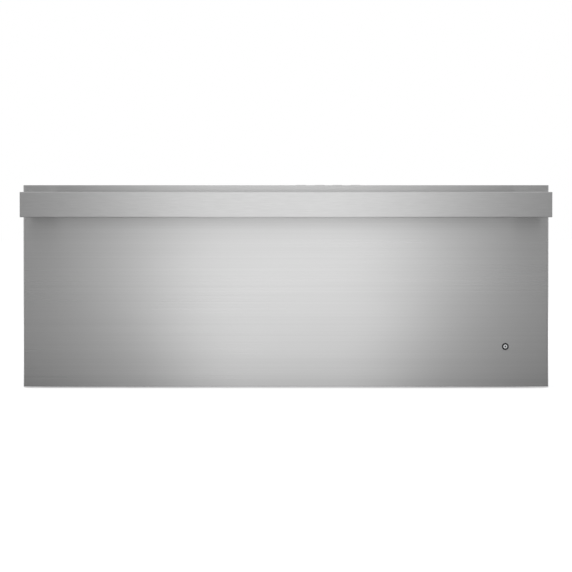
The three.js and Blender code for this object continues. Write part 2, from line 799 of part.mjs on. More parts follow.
function indicatorBezel() {
  const ringY = [-seat - bezelProud, -seat];
  const ring = rod("y", lampCentre, ringY, bezelRadius);
  const sleeve = rod("y", lampCentre, [middle(ringY), sleeveEndY], sleeveRadius);
  const bore = rod("y", lampCentre, grown([ringY[0], sleeveEndY], overshoot), boreRadius);
  return cut(join(ring, sleeve), bore);
}

const lensFrontY = -seat - bezelProud - lensProud;

function indicatorLens() {
  const ys = [lensFrontY, sleeveEndY];
  const lens = rod("y", lampCentre, ys, boreRadius - seat);
  const bore = rod("y", lampCentre, grown(ys, overshoot), emitterRadius + seat, 2 * fewSides);
  return cut(lens, bore);
}

// The lamp's body behind the bezel, with its emitter run forward through the lens
function indicatorLamp() {
  const bodyY = span(sleeveEndY + seat, lampBodyLength);
  const body = rod("y", lampCentre, bodyY, lampBodyRadius, 2 * fewSides);
  const emitter = rod("y", lampCentre, [lensFrontY + seat, middle(bodyY)], emitterRadius, fewSides);
  return join(body, emitter);
}

// ---------------------------------------------------------------- console in the front's top edge

const windowX = about(windowCentre, windowWidth);
const windowY = about(keyRowY, windowDepth);
const windowZ = [panelTop - windowThickness, panelTop];
const collarZ = [stripZ[0] - seat - keyCollarThickness, stripZ[0] - seat];

function consoleHousing() {
  const hollow = block(grown(consoleX, -consoleWall), grown(consoleY, -consoleWall),
    [housingZ[0] + consoleWall, housingZ[1] + overshoot]);
  return cut(block(consoleX, consoleY, housingZ), hollow);
}

function controlStrip() {
  const through = grown(stripZ, overshoot);
  const keyHoles = keyCentres.map((x) =>
    block(about(x, keyWidth + 2 * keyPlay), about(keyRowY, keyDepth + 2 * keyPlay), through));
  const pocket = block(grown(windowX, seat), grown(windowY, seat), [windowZ[0] - seat, panelTop + overshoot]);
  const light = block(grown(windowX, -windowLedge), grown(windowY, -windowLedge), through);
  return cut(block(consoleX, consoleY, stripZ), ...keyHoles, pocket, light);
}

function displayWindow() {
  return block(windowX, windowY, windowZ);
}

// The board, with a switch under each key and the display module under its window
function keyBoard() {
  const board = block(grown(consoleX, -consoleWall - seat), grown(consoleY, -consoleWall - seat), keyBoardZ);
  const switches = keyCentres.map((x) =>
    rod("z", [x, keyRowY], [keyBoardZ[0] + seat, switchTopZ], keyStemRadius + seat, fewSides));
  const display = block(grown(windowX, -windowLedge - seat), grown(windowY, -windowLedge - seat),
    [keyBoardZ[0] + seat, stripZ[0] - seat]);
  return join(board, ...switches, display);
}

// A cap through the strip, a collar that keeps it in, and a stem over its switch
function key(x) {
  const cap = block(about(x, keyWidth), about(keyRowY, keyDepth), [middle(collarZ), panelTop + keyProud]);
  const collar = block(about(x, keyWidth + 2 * keyCollar), about(keyRowY, keyDepth + 2 * keyCollar), collarZ);
  const stemZ = [switchTopZ + keyTravel + seat, middle(collarZ)];
  const stem = rod("z", [x, keyRowY], stemZ, keyStemRadius, fewSides);
  return join(cap, collar, stem);
}

// ---------------------------------------------------------------- vent shutter

function ventShutter() {
  const plate = block(across(shutterHalf), shutterY, shutterZ);
  const knob = block(across(knobWidth / 2), [middle(shutterY), shutterY[1] + knobDepth],
    about(middle(ventZ), knobHeight));
  return join(cut(plate, ...ventOpenings(shutterY)), knob);
}

// ---------------------------------------------------------------- pan, rails and rack

function drawerPan() {
  const shell = roundedSlab(across(wellHalf), wellY, [panBottomZ, rimZ[1]], panCorner);
  const rim = roundedSlab(across(rimHalf), panY, rimZ, rimCorner);
  const well = roundedSlab(across(wellHalf - panSheet), grown(wellY, -panSheet),
    [panBottomZ + panSheet, rimZ[1] + overshoot], panCorner - panSheet);
  return cut(join(shell, rim), well);
}

// A web beside the slide, a ledge under the pan's rim and a tab against the inner panel
function drawerRail(side) {
  const webX = railX.map((x) => side * x);
  const tabY = span(innerPanelY[1] + seat, railSheet);
  const ledgeZ = [railTopZ - railSheet, railTopZ];
  const web = block(webX, [tabY[0], slideY[1]], [slideZ[0], railTopZ]);
  const ledge = block([side * (wellHalf + seat), side * railX[1]], [panY[0], slideY[1]], ledgeZ);
  const tab = block([side * (railX[1] - railTabWidth), side * railX[1]], tabY, [slideZ[0], railTopZ]);
  return join(web, ledge, tab);
}

// Wires welded across runners, on four short feet
function wireRack() {
  const half = wellHalf - panSheet - rackMargin;
  const ys = grown(wellY, -panSheet - rackMargin);
  const floorZ = panBottomZ + panSheet + seat;
  const runnerZ = floorZ + rackFootHeight + rackWire;
  const barZ = runnerZ + rackWire;
  const evenly = ([from, to], count) => Array.from({ length: count }, (_, index) =>
    from + (to - from) * index / (count - 1));
  const runnerXs = evenly(across(half), rackRunners);
  const barCount = Math.round((ys[1] - ys[0]) / rackBarSpacing) + 1;
  const wire = (axis, centre, range) => rod(axis, centre, grown(range, rackWire), rackWire, wireSides);
  const runners = runnerXs.map((x) => wire("y", [x, runnerZ], ys));
  const bars = evenly(ys, barCount).map((y) => wire("x", [y, barZ], across(half)));
  const feet = [runnerXs[0], runnerXs.at(-1)].flatMap((x) => grown(ys, -rackBarSpacing / 2).map((y) =>
    rod("z", [x, y], [floorZ, runnerZ], rackWire, wireSides)));
  return join(...runners, ...bars, ...feet);
}

// ---------------------------------------------------------------- assembly

function piece(name, geometry, material) {
  const mesh = new THREE.Mesh(geometry, material);
  mesh.name = name;
  return mesh;
}

const sides = { left: -1, right: 1 };
const pair = (make) => Object.entries(sides).map(([word, side]) => make(word, side));

const chassis = new THREE.Group().add(
  piece("chassis_base", block(across(betweenSidesHalf), chassisY, baseZ), galvanisedSteel),
  ...pair((word, side) => piece(`chassis_${word}_side`, chassisSide(side), galvanisedSteel)),
  piece("chassis_top", chassisTop(), galvanisedSteel),
  piece("chassis_back", chassisBack(), galvanisedSteel),
  ...pair((word, side) => piece(`base_runner_${word}`, runner(side), galvanisedSteel)),
  piece("liner_floor", linerFloor(), linerSteel),
  ...pair((word, side) => piece(`liner_${word}_side`, linerSide(side), linerSteel)),
  piece("liner_top", linerTop(), linerSteel),
  piece("liner_back", linerBack(), linerSteel),
  piece("insulation_wrap", insulationWrap(), mineralWool),
  piece("insulation_top", block(across(linerHalf), insulationY, topInsulationZ), mineralWool),
  piece("insulation_back", insulationBack(), mineralWool),
  piece("heating_element", heatingElement(), elementSheath),
  piece("element_bracket_front", elementBracket(elementFrontY + 2 * elementBend), linerSteel),
  piece("element_bracket_back", elementBracket(elementBackY - 2 * elementBend), linerSteel),
  piece("heat_spreader", heatSpreader(), linerSteel),
  piece("temperature_probe", temperatureProbe(), screwSteel),
  piece("thermal_cutout", thermalCutout(), blackPlastic),
  piece("power_board", powerBoard(), circuitBoard),
  piece("rear_cover", rearCover(), galvanisedSteel),
  piece("wiring_box", wiringBox(), galvanisedSteel),
  piece("wiring_box_cover", block(wiringBoxX, wiringCoverY, wiringBoxZ), galvanisedSteel),
  ...pair((word, side) => piece(`slide_outer_${word}`, outerMember(side), slideSteel)),
);

const slideMiddles = new THREE.Group().add(
  ...pair((word, side) => piece(`slide_middle_${word}`, middleMember(side), slideSteel)),
);

const cagePair = (stage, webDepth, ballDepth, aroundHalfHeight) => pair((word, side) =>
  piece(`ball_cage_${stage}_${word}`, ballCage(side, webDepth, ballDepth, aroundHalfHeight), cagePlastic));

const outerCages = new THREE.Group().add(
  ...cagePair("outer", outerCageDepth, outerBallDepth, middleHalfHeight),
);

const innerCages = new THREE.Group().add(
  ...cagePair("inner", innerCageDepth, innerBallDepth, innerHalfHeight),
);

const keys = new THREE.Group().add(
  ...keyCentres.map((x, index) => piece(`control_key_${index + 1}`, key(x), keyPlastic)),
);

const drawer = new THREE.Group().add(
  piece("front_skin", frontSkin(), brushedSteel),
  piece("inner_panel", innerPanel(), linerSteel),
  piece("insulation_front", frontInsulation(), mineralWool),
  piece("door_gasket", gasket(), rubberSeal),
  piece("handle_bar", handleBar(), brushedSteel),
  ...pair((word, side) => piece(`handle_post_${word}`, handlePost(side * postCentreX), brushedSteel)),
  ...pair((word, side) => piece(`handle_screw_${word}`, handleScrew(side * postCentreX), screwSteel)),
  piece("indicator_bezel", indicatorBezel(), blackPlastic),
  piece("indicator_lens", indicatorLens(), lensPlastic),
  piece("indicator_lamp", indicatorLamp(), blackPlastic),
  piece("console_housing", consoleHousing(), blackPlastic),
  piece("control_strip", controlStrip(), gloss),
  piece("display_window", displayWindow(), gloss),
  piece("key_board", keyBoard(), circuitBoard),
  piece("drawer_pan", drawerPan(), brushedSteel),
  ...pair((word, side) => piece(`drawer_rail_${word}`, drawerRail(side), linerSteel)),
  ...pair((word, side) => piece(`slide_inner_${word}`, innerMember(side), slideSteel)),
  piece("vent_shutter", ventShutter(), linerSteel),
  piece("wire_rack", wireRack(), screwSteel),
  keys,
);

// The origin is under the middle of the whole object, handle included, on the shelf that it stands on.
const backmostY = Math.max(rearY + rearCoverDepth, wiringCoverY[1]);
const warmingDrawer = new THREE.Group().add(chassis, slideMiddles, outerCages, innerCages, drawer);
warmingDrawer.position.y = -middle([barY[0], backmostY]);

const model = new THREE.Group().add(warmingDrawer);

export default model;
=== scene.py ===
"""Dresses the warming drawer: a finish for every solid, and finely modelled shapes for what shows."""

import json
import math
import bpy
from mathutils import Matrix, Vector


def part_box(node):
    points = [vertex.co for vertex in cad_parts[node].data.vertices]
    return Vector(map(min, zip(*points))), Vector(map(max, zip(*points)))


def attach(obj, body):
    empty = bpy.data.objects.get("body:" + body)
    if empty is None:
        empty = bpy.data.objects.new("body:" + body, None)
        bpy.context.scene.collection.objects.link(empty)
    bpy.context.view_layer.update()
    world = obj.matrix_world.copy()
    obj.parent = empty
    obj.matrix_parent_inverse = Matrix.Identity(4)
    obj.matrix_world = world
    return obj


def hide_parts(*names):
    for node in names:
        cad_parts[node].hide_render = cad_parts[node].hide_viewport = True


bl_info = {
    "name": "Warming Drawer",
    "version": (1, 0, 0),
    "blender": (4, 5, 0),
    "location": "3D View > Sidebar > Warming Drawer",
    "description": "Models the visible pieces of a built-in warming drawer and lights them",
    "category": "Object",
}

import bmesh
import bpy
from mathutils import Vector

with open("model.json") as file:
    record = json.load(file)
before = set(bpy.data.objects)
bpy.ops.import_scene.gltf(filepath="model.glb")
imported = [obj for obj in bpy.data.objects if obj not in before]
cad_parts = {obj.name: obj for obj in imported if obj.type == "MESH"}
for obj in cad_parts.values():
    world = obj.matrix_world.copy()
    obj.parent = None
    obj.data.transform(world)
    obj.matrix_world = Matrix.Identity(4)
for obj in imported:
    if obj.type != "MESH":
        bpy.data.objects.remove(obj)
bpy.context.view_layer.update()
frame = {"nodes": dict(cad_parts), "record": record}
BODY_OF = {node: body for body, nodes in frame["record"]["behaviour"]["bodies"].items() for node in nodes}

MM = 0.001
GAP = 0.3 * MM
FRONT = Vector((0, -1, 0))
UP = Vector((0, 0, 1))
SIDES = ("left", "right")
KEY_NUMBERS = (1, 2, 3, 4)

# The rings of a key's dish, from its edge inwards: the share of the last ring's width, and the drop.
KEY_DISH = ((0.86, 0.06 * MM), (0.8, 0.14 * MM), (0.7, 0.1 * MM), (0.5, 0.04 * MM))

# The two arms of a cross recess, as shares of the head's radius: half width and half height.
CROSS_ARMS = ((0.62, 0.16), (0.16, 0.62))
CROSS_DEPTH = 1.4 * MM
SUNK_HEAD = 1.0 * MM
SUNK_GAP = 0.2 * MM
THREAD_PITCH = 0.7 * MM
BALLS_PER_ROW = 6
QUARTER_TURN = 0.25
FINE_RELIEF = 0.02 * MM

# Shares of a piece's own radius, height, length or edge.
THREAD_ROOT = 0.86
HEAD_DOME = 0.6
TIP_DOME = 0.7
PANE_EDGE = 0.6
WIRE_END = 0.55
BUSH_LENGTH = 0.45
BUSH_WIDTH = 0.8
PIN_WIDTH = 0.4
CAGE_EDGE = 0.2
WASHER_WIDTH = 1.35
WASHER_HEIGHT = 0.25
WASHER_EDGE = 0.12
HEXAGON_START = 0.2
HEXAGON_EDGE = 0.1
SLOT_WIDTH = 0.12
SLOT_FLOOR = 0.6
RIVET_DOME = 0.45
RIVET_HEIGHTS = (0.12, 0.5, 0.88)

# The floor, and the card in front with its apron on the floor: places in metres, and shares of its light.
FLOOR_SIZE = 40
FLOOR_DROP = 0.02 * MM
CARD_Y = -1.8
CARD_CENTRE_X = 0.004
CARD_WIDTH = 6.0
CARD_HEIGHT = 2.4
CARD_PLATEAU = 0.14
CARD_FADE_END = 0.54
CARD_DIM = 0.3
APRON_END_Y = -0.24
APRON_FADE_START_Y = -0.8
APRON_SHARE = 0.27
APRON_NARROWING_START_Y = -1.3
APRON_NARROWING = 2.4

# Each soft lamp's name, place, power in watts and width in metres.
LAMPS = (
    ("key_lamp", (-1.2, -2.6, 2.4), 30.0, 1.6),
    ("back_lamp", (1.6, 2.4, 2.2), 24.0, 1.6),
)
LAMP_AIM = (0, 0, 0.15)
CAMERA_PLACE = (0, -4.9241, 0.2606)
CAMERA_AIM = (0, -0.2741, 0.147)
CAMERA_LENS = 203.5
CAMERA_SENSOR = 36.0


# ---- sizes and colours that a user may change


def length(name, note, default):
    """A size, shown in the scene's unit of length."""
    return bpy.props.FloatProperty(name=name, description=note, default=default, unit="LENGTH")


def shade(name, note, default):
    """A base colour."""
    return bpy.props.FloatVectorProperty(
        name=name, description=note, default=default, subtype="COLOR", size=3)


def level(name, note, default):
    """A strength of light, from nothing up."""
    return bpy.props.FloatProperty(name=name, description=note, default=default, min=0)


class WarmingDrawerSizes(bpy.types.PropertyGroup):
    """Edge radii and small relief of the modelled pieces"""

    crisp_edge: length("Crisp edge", "Radius of a folded or cut edge", 0.5 * MM)
    fine_edge: length("Fine edge", "Radius of a broken sheet edge", 0.25 * MM)
    skin_sheet: length("Skin sheet", "Thickness of the front's sheet", 1.2 * MM)
    skin_bend: length("Skin bend", "Radius of the bend at the front's sides", 3 * MM)
    handle_edge: length("Handle edge", "Radius along the handle bar's edges", 0.9 * MM)
    post_corner: length("Post corner", "Radius along the handle posts", 4 * MM)
    screw_radius: length("Screw", "Radius of the handle screws' shanks", 3 * MM)
    screw_head: length("Screw head", "Height of the handle screws' heads", 3.5 * MM)
    sleeve_radius: length("Lamp sleeve", "Radius of the bezel's sleeve", 4.2 * MM)
    bezel_proud: length("Bezel ring", "Thickness of the lamp's ring", 0.8 * MM)
    bezel_edge: length("Bezel edge", "Radius round the lamp's ring and lens", 0.2 * MM)
    emitter_radius: length("Lamp tip", "Radius of the lamp's tip", 1 * MM)
    window_ledge: length("Window ledge", "Width of the ledge under the display's pane", 1.5 * MM)
    key_edge: length("Key edge", "Radius round a key's cap", 0.8 * MM)
    key_stand: length("Key stand", "How far a key's cap stands above the strip", 0.3 * MM)
    key_collar: length("Key collar", "Width of the collar round a key", 1.2 * MM)
    key_collar_thickness: length("Key collar thickness", "Thickness of a key's collar", 1.2 * MM)
    key_stem: length("Key stem", "Radius of a key's stem", 2 * MM)
    gasket_width: length("Gasket width", "Width of the seal", 12 * MM)
    gasket_bend: length("Gasket bend", "Inner radius of the seal at its corners", 10 * MM)
    gasket_foot: length("Gasket foot", "Thickness of the foot under the bulb", 1.2 * MM)
    gasket_ledge: length("Gasket ledge", "Width of the foot on each side of the bulb", 2.6 * MM)
    gasket_round: length("Gasket round", "Radius over the bulb", 1.9 * MM)
    pan_sheet: length("Pan sheet", "Thickness of the pan", 1 * MM)
    pan_corner: length("Pan corner", "Radius at the upright corners of the pan", 14 * MM)
    pan_floor_bend: length("Pan floor bend", "Radius from the pan's floor to its walls", 5 * MM)
    rim_width: length("Rim", "Width of the rim round the pan", 15 * MM)
    rim_corner: length("Rim corner", "Radius at the corners of the rim", 6 * MM)
    wire_radius: length("Rack wire", "Radius of the rack's wires", 1.8 * MM)
    rack_foot_inset: length("Rack foot", "From the end of the rack to its feet", 16.9 * MM)
    rack_bars: bpy.props.IntProperty(name="Rack bars", description="Wires across the rack", default=15, min=2)
    rack_runners: bpy.props.IntProperty(name="Rack runners", description="Wires under them", default=5, min=2)
    element_radius: length("Element", "Radius of the heating element's sheath", 3.5 * MM)
    element_bend: length("Element bend", "Radius of the element's bends", 28 * MM)
    element_tail: length("Element tail", "From the middle to each tail of the element", 30 * MM)
    element_back: length("Element back", "Place of the element's rear run", 198.9 * MM)
    element_sheath_end: length("Sheath end", "From the chassis to the end of the sheath", 5 * MM)
    cage_sheet: length("Cage sheet", "Thickness of a ball cage", 0.6 * MM)
    ball_radius: length("Ball", "Radius of the slides' balls", 1.4 * MM)
    cover_sheet: length("Cover sheet", "Thickness of the rear cover", 1.2 * MM)
    cover_corner: length("Cover corner", "Radius at the wiring cover's corners", 1.5 * MM)
    screw_inset: length("Screw inset", "From the rear cover's edge to its screws", 5 * MM)
    back_screw_inset: length("Back screw inset", "From the back sheet's edge to its screws", 7 * MM)
    flat_screw_inset: length("Flat screw inset", "From the wiring cover's edge to its screws", 8 * MM)
    hex_radius: length("Screw size", "Radius of a sheet screw's hexagon", 3 * MM)
    hex_head: length("Screw height", "Height of a sheet screw's head", 2.4 * MM)
    flange_width: length("Flange", "Width of the chassis' front flange", 14 * MM)
    rivet_radius: length("Rivet", "Radius of a rivet's dome", 3 * MM)
    rivet_inset: length("Rivet inset", "From the chassis' ends to its rivets", 22 * MM)


class WarmingDrawerColours(bpy.types.PropertyGroup):
    """Base colours of the finishes, and the strengths of the light"""

    brushed: shade("Brushed steel", "Front, handle and pan", (0.56, 0.56, 0.56))
    zinc: shade("Zinc", "Chassis and covers", (0.52, 0.54, 0.55))
    liner: shade("Liner", "Aluminised sheets round the cavity", (0.5, 0.5, 0.49))
    key_grey: shade("Key grey", "Caps of the keys", (0.2, 0.205, 0.21))
    softbox: level("Softbox", "Brightness of the card in front", 1.37)
    fill: level("Fill", "Strength of the even light from all round", 0.62)
    floor_lift: level("Floor lift", "Brightness added to the floor where it is seen", 0.46)


def sizes():
    return bpy.context.scene.warming_drawer_sizes


def colours():
    return bpy.context.scene.warming_drawer_colours


# ---- finishes


def blank_finish(name, colour, roughness, metallic=0.0):
    """A material, its shader set to plain values, and its node tree."""
    finish = bpy.data.materials.new(name)
    finish.use_nodes = True
    shader = finish.node_tree.nodes["Principled BSDF"]
    shader.inputs["Base Color"].default_value = (*colour, 1)
    shader.inputs["Roughness"].default_value = roughness
    shader.inputs["Metallic"].default_value = metallic
    return finish, shader, finish.node_tree


def own_coordinates(tree, stretch):
    """Object coordinates, stretched."""
    source = tree.nodes.new("ShaderNodeTexCoord")
    mapping = tree.nodes.new("ShaderNodeMapping")
    mapping.inputs["Scale"].default_value = stretch
    tree.links.new(source.outputs["Object"], mapping.inputs["Vector"])
    return mapping.outputs["Vector"]


def noise(tree, stretch, scale=1.0, detail=3.0, roughness=0.5):
    texture = tree.nodes.new("ShaderNodeTexNoise")
    texture.inputs["Scale"].default_value = scale
    texture.inputs["Detail"].default_value = detail
    texture.inputs["Roughness"].default_value = roughness
    tree.links.new(own_coordinates(tree, stretch), texture.inputs["Vector"])
    return texture.outputs["Fac"]


def cells(tree, scale, feature="F1", output="Distance"):
    texture = tree.nodes.new("ShaderNodeTexVoronoi")
    texture.feature = feature
    texture.inputs["Scale"].default_value = scale
    tree.links.new(own_coordinates(tree, (1, 1, 1)), texture.inputs["Vector"])
    return texture.outputs[output]


def spread(tree, value, low, high, start=0.3, end=0.7):
    """A pattern's value brought into a range."""
    ranger = tree.nodes.new("ShaderNodeMapRange")
    ranger.inputs["From Min"].default_value = start
    ranger.inputs["From Max"].default_value = end
    ranger.inputs["To Min"].default_value = low
    ranger.inputs["To Max"].default_value = high
    tree.links.new(value, ranger.inputs["Value"])
    return ranger.outputs["Result"]


def arithmetic(tree, operation, first, second=None):
    """A sum whose second number is a plain value or another node's result."""
    node = tree.nodes.new("ShaderNodeMath")
    node.operation = operation
    tree.links.new(first, node.inputs[0])
    if isinstance(second, bpy.types.NodeSocket):
        tree.links.new(second, node.inputs[1])
    elif second is not None:
        node.inputs[1].default_value = second
    return node.outputs[0]


def colour_by(shader, pattern, dark, light, start=0.3, end=0.7):
    """Blends the shader's colour from dark to light as a pattern rises."""
    tree = shader.id_data
    ramp = tree.nodes.new("ShaderNodeValToRGB")
    ramp.color_ramp.elements[0].position = start
    ramp.color_ramp.elements[0].color = (*dark, 1)
    ramp.color_ramp.elements[1].position = end
    ramp.color_ramp.elements[1].color = (*light, 1)
    tree.links.new(pattern, ramp.inputs["Fac"])
    tree.links.new(ramp.outputs["Color"], shader.inputs["Base Color"])


def roughen_by(shader, pattern, low, high, start=0.3, end=0.7):
    """Varies the shader's roughness as a pattern rises."""
    tree = shader.id_data
    tree.links.new(spread(tree, pattern, low, high, start, end), shader.inputs["Roughness"])


def relief(shader, height, strength, distance):
    """Fine relief that is too small to model."""
    tree = shader.id_data
    bump = tree.nodes.new("ShaderNodeBump")
    bump.inputs["Strength"].default_value = strength
    bump.inputs["Distance"].default_value = distance
    tree.links.new(height, bump.inputs["Height"])
    tree.links.new(bump.outputs["Normal"], shader.inputs["Normal"])


def tinted(colour, factor):
    return tuple(min(1.0, channel * factor) for channel in colour)


def plain_finish(name, colour, roughness, metallic=0.0, grain=400.0, tone=0.06, rough_tone=0.06,
                 strength=0.3):
    """A finish with fine even grain, as moulded or plated pieces have."""
    finish, shader, tree = blank_finish(name, colour, roughness, metallic)
    fine = noise(tree, (1, 1, 1), scale=grain)
    broad = noise(tree, (1, 1, 1), scale=grain / 40)
    colour_by(shader, broad, tinted(colour, 1 - tone), tinted(colour, 1 + tone))
    roughen_by(shader, broad, roughness - rough_tone, roughness + rough_tone)
    relief(shader, fine, strength, FINE_RELIEF)
    return finish


def brushed_finish(name, colour, roughness, lines=1800.0, run=1.6, contrast=0.025, anisotropy=0.88):
    """Steel brushed along X: long fine lines that smear reflections across them."""
    finish, shader, tree = blank_finish(name, colour, roughness, metallic=1.0)
    fine = noise(tree, (run, lines, lines), detail=4)
    coarse = noise(tree, (run * 0.8, lines / 3, lines / 3), detail=3)
    cloud = noise(tree, (3, 3, 9), detail=2)
    colour_by(shader, coarse, tinted(colour, 1 - contrast), tinted(colour, 1 + contrast))
    lines_share = spread(tree, fine, -0.02, 0.02)
    cloud_share = spread(tree, cloud, roughness - 0.02, roughness + 0.02)
    tree.links.new(arithmetic(tree, "ADD", lines_share, cloud_share), shader.inputs["Roughness"])
    shader.inputs["Anisotropic"].default_value = anisotropy
    shader.inputs["Anisotropic Rotation"].default_value = QUARTER_TURN
    tangent = tree.nodes.new("ShaderNodeTangent")
    tangent.direction_type = "UV_MAP"
    tree.links.new(tangent.outputs["Tangent"], shader.inputs["Tangent"])
    relief(shader, fine, strength=0.08, distance=FINE_RELIEF)
    return finish


def zinc_finish(name, colour):
    """Galvanised sheet: spangle crystals a few millimetres across, each of its own tone."""
    finish, shader, tree = blank_finish(name, colour, roughness=0.42, metallic=1.0)
    grey = tree.nodes.new("ShaderNodeRGBToBW")
    tree.links.new(cells(tree, 190.0, output="Color"), grey.inputs["Color"])
    crystals = grey.outputs["Val"]
    colour_by(shader, crystals, tinted(colour, 0.86), tinted(colour, 1.12), start=0.1, end=0.9)
    roughen_by(shader, crystals, 0.36, 0.5, start=0.1, end=0.9)
    relief(shader, noise(tree, (1, 1, 1), scale=25.0), strength=0.15, distance=0.2 * MM)
    return finish


def wool_finish(name, colour):
    """Mineral wool: tangled fibres with soft lumps."""
    finish, shader, tree = blank_finish(name, colour, roughness=0.95)
    fibres = noise(tree, (600, 2600, 1500), detail=6, roughness=0.7)
    colour_by(shader, fibres, tinted(colour, 0.72), tinted(colour, 1.12))
    relief(shader, fibres, strength=0.8, distance=0.6 * MM)
    return finish


def board_finish(name):
    """A circuit board: green mask over faint copper tracks."""
    finish, shader, tree = blank_finish(name, (0.015, 0.11, 0.05), roughness=0.4)
    tracks = cells(tree, 260.0, feature="DISTANCE_TO_EDGE")
    colour_by(shader, tracks, (0.03, 0.2, 0.1), (0.012, 0.09, 0.04), start=0.02, end=0.06)
    relief(shader, tracks, strength=0.3, distance=0.05 * MM)
    return finish


def sheath_finish(name):
    """The element's alloy sheath, darkened unevenly by heat."""
    finish, shader, tree = blank_finish(name, (0.12, 0.1, 0.09), roughness=0.5, metallic=1.0)
    patches = noise(tree, (1, 1, 1), scale=30.0, detail=5)
    colour_by(shader, patches, (0.07, 0.06, 0.06), (0.22, 0.18, 0.15))
    roughen_by(shader, patches, 0.38, 0.62)
    relief(shader, noise(tree, (1, 1, 1), scale=900.0), strength=0.3, distance=0.03 * MM)
    return finish


def glass_finish(name):
    """Smoked glass over the display."""
    finish = plain_finish(name, (0.012, 0.012, 0.015), roughness=0.08, grain=300.0, rough_tone=0.02,
                          strength=0.02)
    shader = finish.node_tree.nodes["Principled BSDF"]
    shader.inputs["Coat Weight"].default_value = 1.0
    shader.inputs["Coat Roughness"].default_value = 0.03
    return finish


# Finishes with an even grain: each one's colour, and how it differs from the usual settings.
PLAIN_LOOKS = {
    "slide_steel": dict(colour=(0.58, 0.59, 0.61), roughness=0.28, metallic=1.0, grain=700.0, tone=0.04),
    "plated_steel": dict(colour=(0.68, 0.68, 0.68), roughness=0.18, metallic=1.0, grain=500.0, tone=0.03),
    "gasket_rubber": dict(colour=(0.04, 0.04, 0.042), roughness=0.7, grain=1500.0, strength=0.5),
    "black_plastic": dict(colour=(0.025, 0.025, 0.026), roughness=0.45, grain=2500.0, strength=0.4),
    "strip_gloss": dict(colour=(0.01, 0.01, 0.012), roughness=0.12, grain=600.0, rough_tone=0.03,
                        strength=0.04),
    "lens_plastic": dict(colour=(0.72, 0.73, 0.74), roughness=0.15, grain=800.0, tone=0.03, rough_tone=0.04,
                         strength=0.1),
    "cage_plastic": dict(colour=(0.66, 0.64, 0.56), roughness=0.5, grain=1500.0),
}


def build_finishes():
    """Every finish by its name, which for most of them is also a material slot's."""
    base = colours()
    finishes = {name: plain_finish(name, **look) for name, look in PLAIN_LOOKS.items()}
    finishes |= {
        "brushed_stainless": brushed_finish("brushed_stainless", base.brushed, roughness=0.3),
        # The handle's finish has its own finer grain, and its colour is the front's steel tinted darker:
        # painted shade.
        "handle_stainless_painted_shade": brushed_finish("handle_stainless_painted_shade", tinted(base.brushed, 0.95), roughness=0.32,
                                           lines=2400.0, run=60.0, contrast=0.04),
        "pan_stainless": brushed_finish("pan_stainless", base.brushed, roughness=0.32, run=3.0,
                                        anisotropy=0.6),
        "galvanised_steel": zinc_finish("galvanised_steel", base.zinc),
        "liner_steel": plain_finish("liner_steel", base.liner, roughness=0.36, metallic=1.0, grain=900.0,
                                    tone=0.04),
        "key_plastic": plain_finish("key_plastic", base.key_grey, roughness=0.38, grain=2200.0),
        "element_sheath": sheath_finish("element_sheath"),
        "mineral_wool": wool_finish("mineral_wool", (0.7, 0.62, 0.42)),
        "window_glass": glass_finish("window_glass"),
        "circuit_board": board_finish("circuit_board"),
    }
    return finishes


FINISHES = {}


def finish_of(name):
    if not FINISHES:
        FINISHES.update(build_finishes())
    return FINISHES[name]


def wear(thing, name):
    """Gives a piece or solid one finish all over."""
    thing.data.materials.clear()
    thing.data.materials.append(finish_of(name))


# ---- modelling by hand


AXIS_TURNS = {"x": (0, math.pi / 2, 0), "y": (math.pi / 2, 0, 0), "z": (0, 0, 0)}
CUT_REACH = 2 * MM
EDGE_REACH = 0.05 * MM
SMOOTH_ANGLE = math.radians(32)


def clear_selection():
    """Object mode with nothing selected, as a new primitive needs."""
    if bpy.context.mode != "OBJECT":
        bpy.ops.object.mode_set(mode="OBJECT")
    bpy.ops.object.select_all(action="DESELECT")


def choose(piece):
    """Selects one piece alone and makes it the active one."""
    clear_selection()
    piece.select_set(True)
    bpy.context.view_layer.objects.active = piece


def keep_place(name):
    """Names the new primitive and moves its place and size into its mesh."""
    piece = bpy.context.object
    piece.name = name
    piece.data.name = name
    bpy.ops.object.transform_apply(location=True, rotation=True, scale=True)
    return piece


def add_block(name, low, high):
    """A block between two corners."""
    clear_selection()
    low, high = Vector(low), Vector(high)
    bpy.ops.mesh.primitive_cube_add(size=1, location=(low + high) / 2, scale=high - low)
    return keep_place(name)


def add_rod(name, axis, start, end, radius, sides=32):
    """A rod along one axis, between two points."""
    clear_selection()
    start, end = Vector(start), Vector(end)
    bpy.ops.mesh.primitive_cylinder_add(vertices=sides, radius=radius, depth=(end - start).length,
                                        location=(start + end) / 2, rotation=AXIS_TURNS[axis])
    return keep_place(name)


def add_rod_back(name, x, z, start, end, radius, sides=32):
    """A rod that runs from front to back."""
    return add_rod(name, "y", (x, start, z), (x, end, z), radius, sides)


def add_ball(name, centre, radius, segments):
    """A ball whose rings lie round the upright axis."""
    clear_selection()
    bpy.ops.mesh.primitive_uv_sphere_add(segments=segments, ring_count=12, radius=radius, location=centre)
    return keep_place(name)


def enter_edit(piece, kind):
    """Edit mode with nothing selected."""
    choose(piece)
    bpy.ops.object.mode_set(mode="EDIT")
    bpy.ops.mesh.select_mode(type=kind)
    bpy.ops.mesh.select_all(action="DESELECT")
    return bmesh.from_edit_mesh(piece.data)


def leave_edit():
    bpy.ops.object.mode_set(mode="OBJECT")


def pick(piece, kind, test):
    """Selects the points, edges or faces of a piece that pass a test."""
    shape = enter_edit(piece, kind)
    for item in {"VERT": shape.verts, "EDGE": shape.edges, "FACE": shape.faces}[kind]:
        if test(item):
            item.select_set(True)
    bmesh.update_edit_mesh(piece.data)


def pick_faces(piece, test):
    """Selects the faces whose normal passes a test."""
    pick(piece, "FACE", lambda face: test(face.normal))


def pick_edges(piece, test):
    """Selects the edges whose two ends pass a test."""
    pick(piece, "EDGE", lambda edge: test(edge.verts[0].co, edge.verts[1].co))


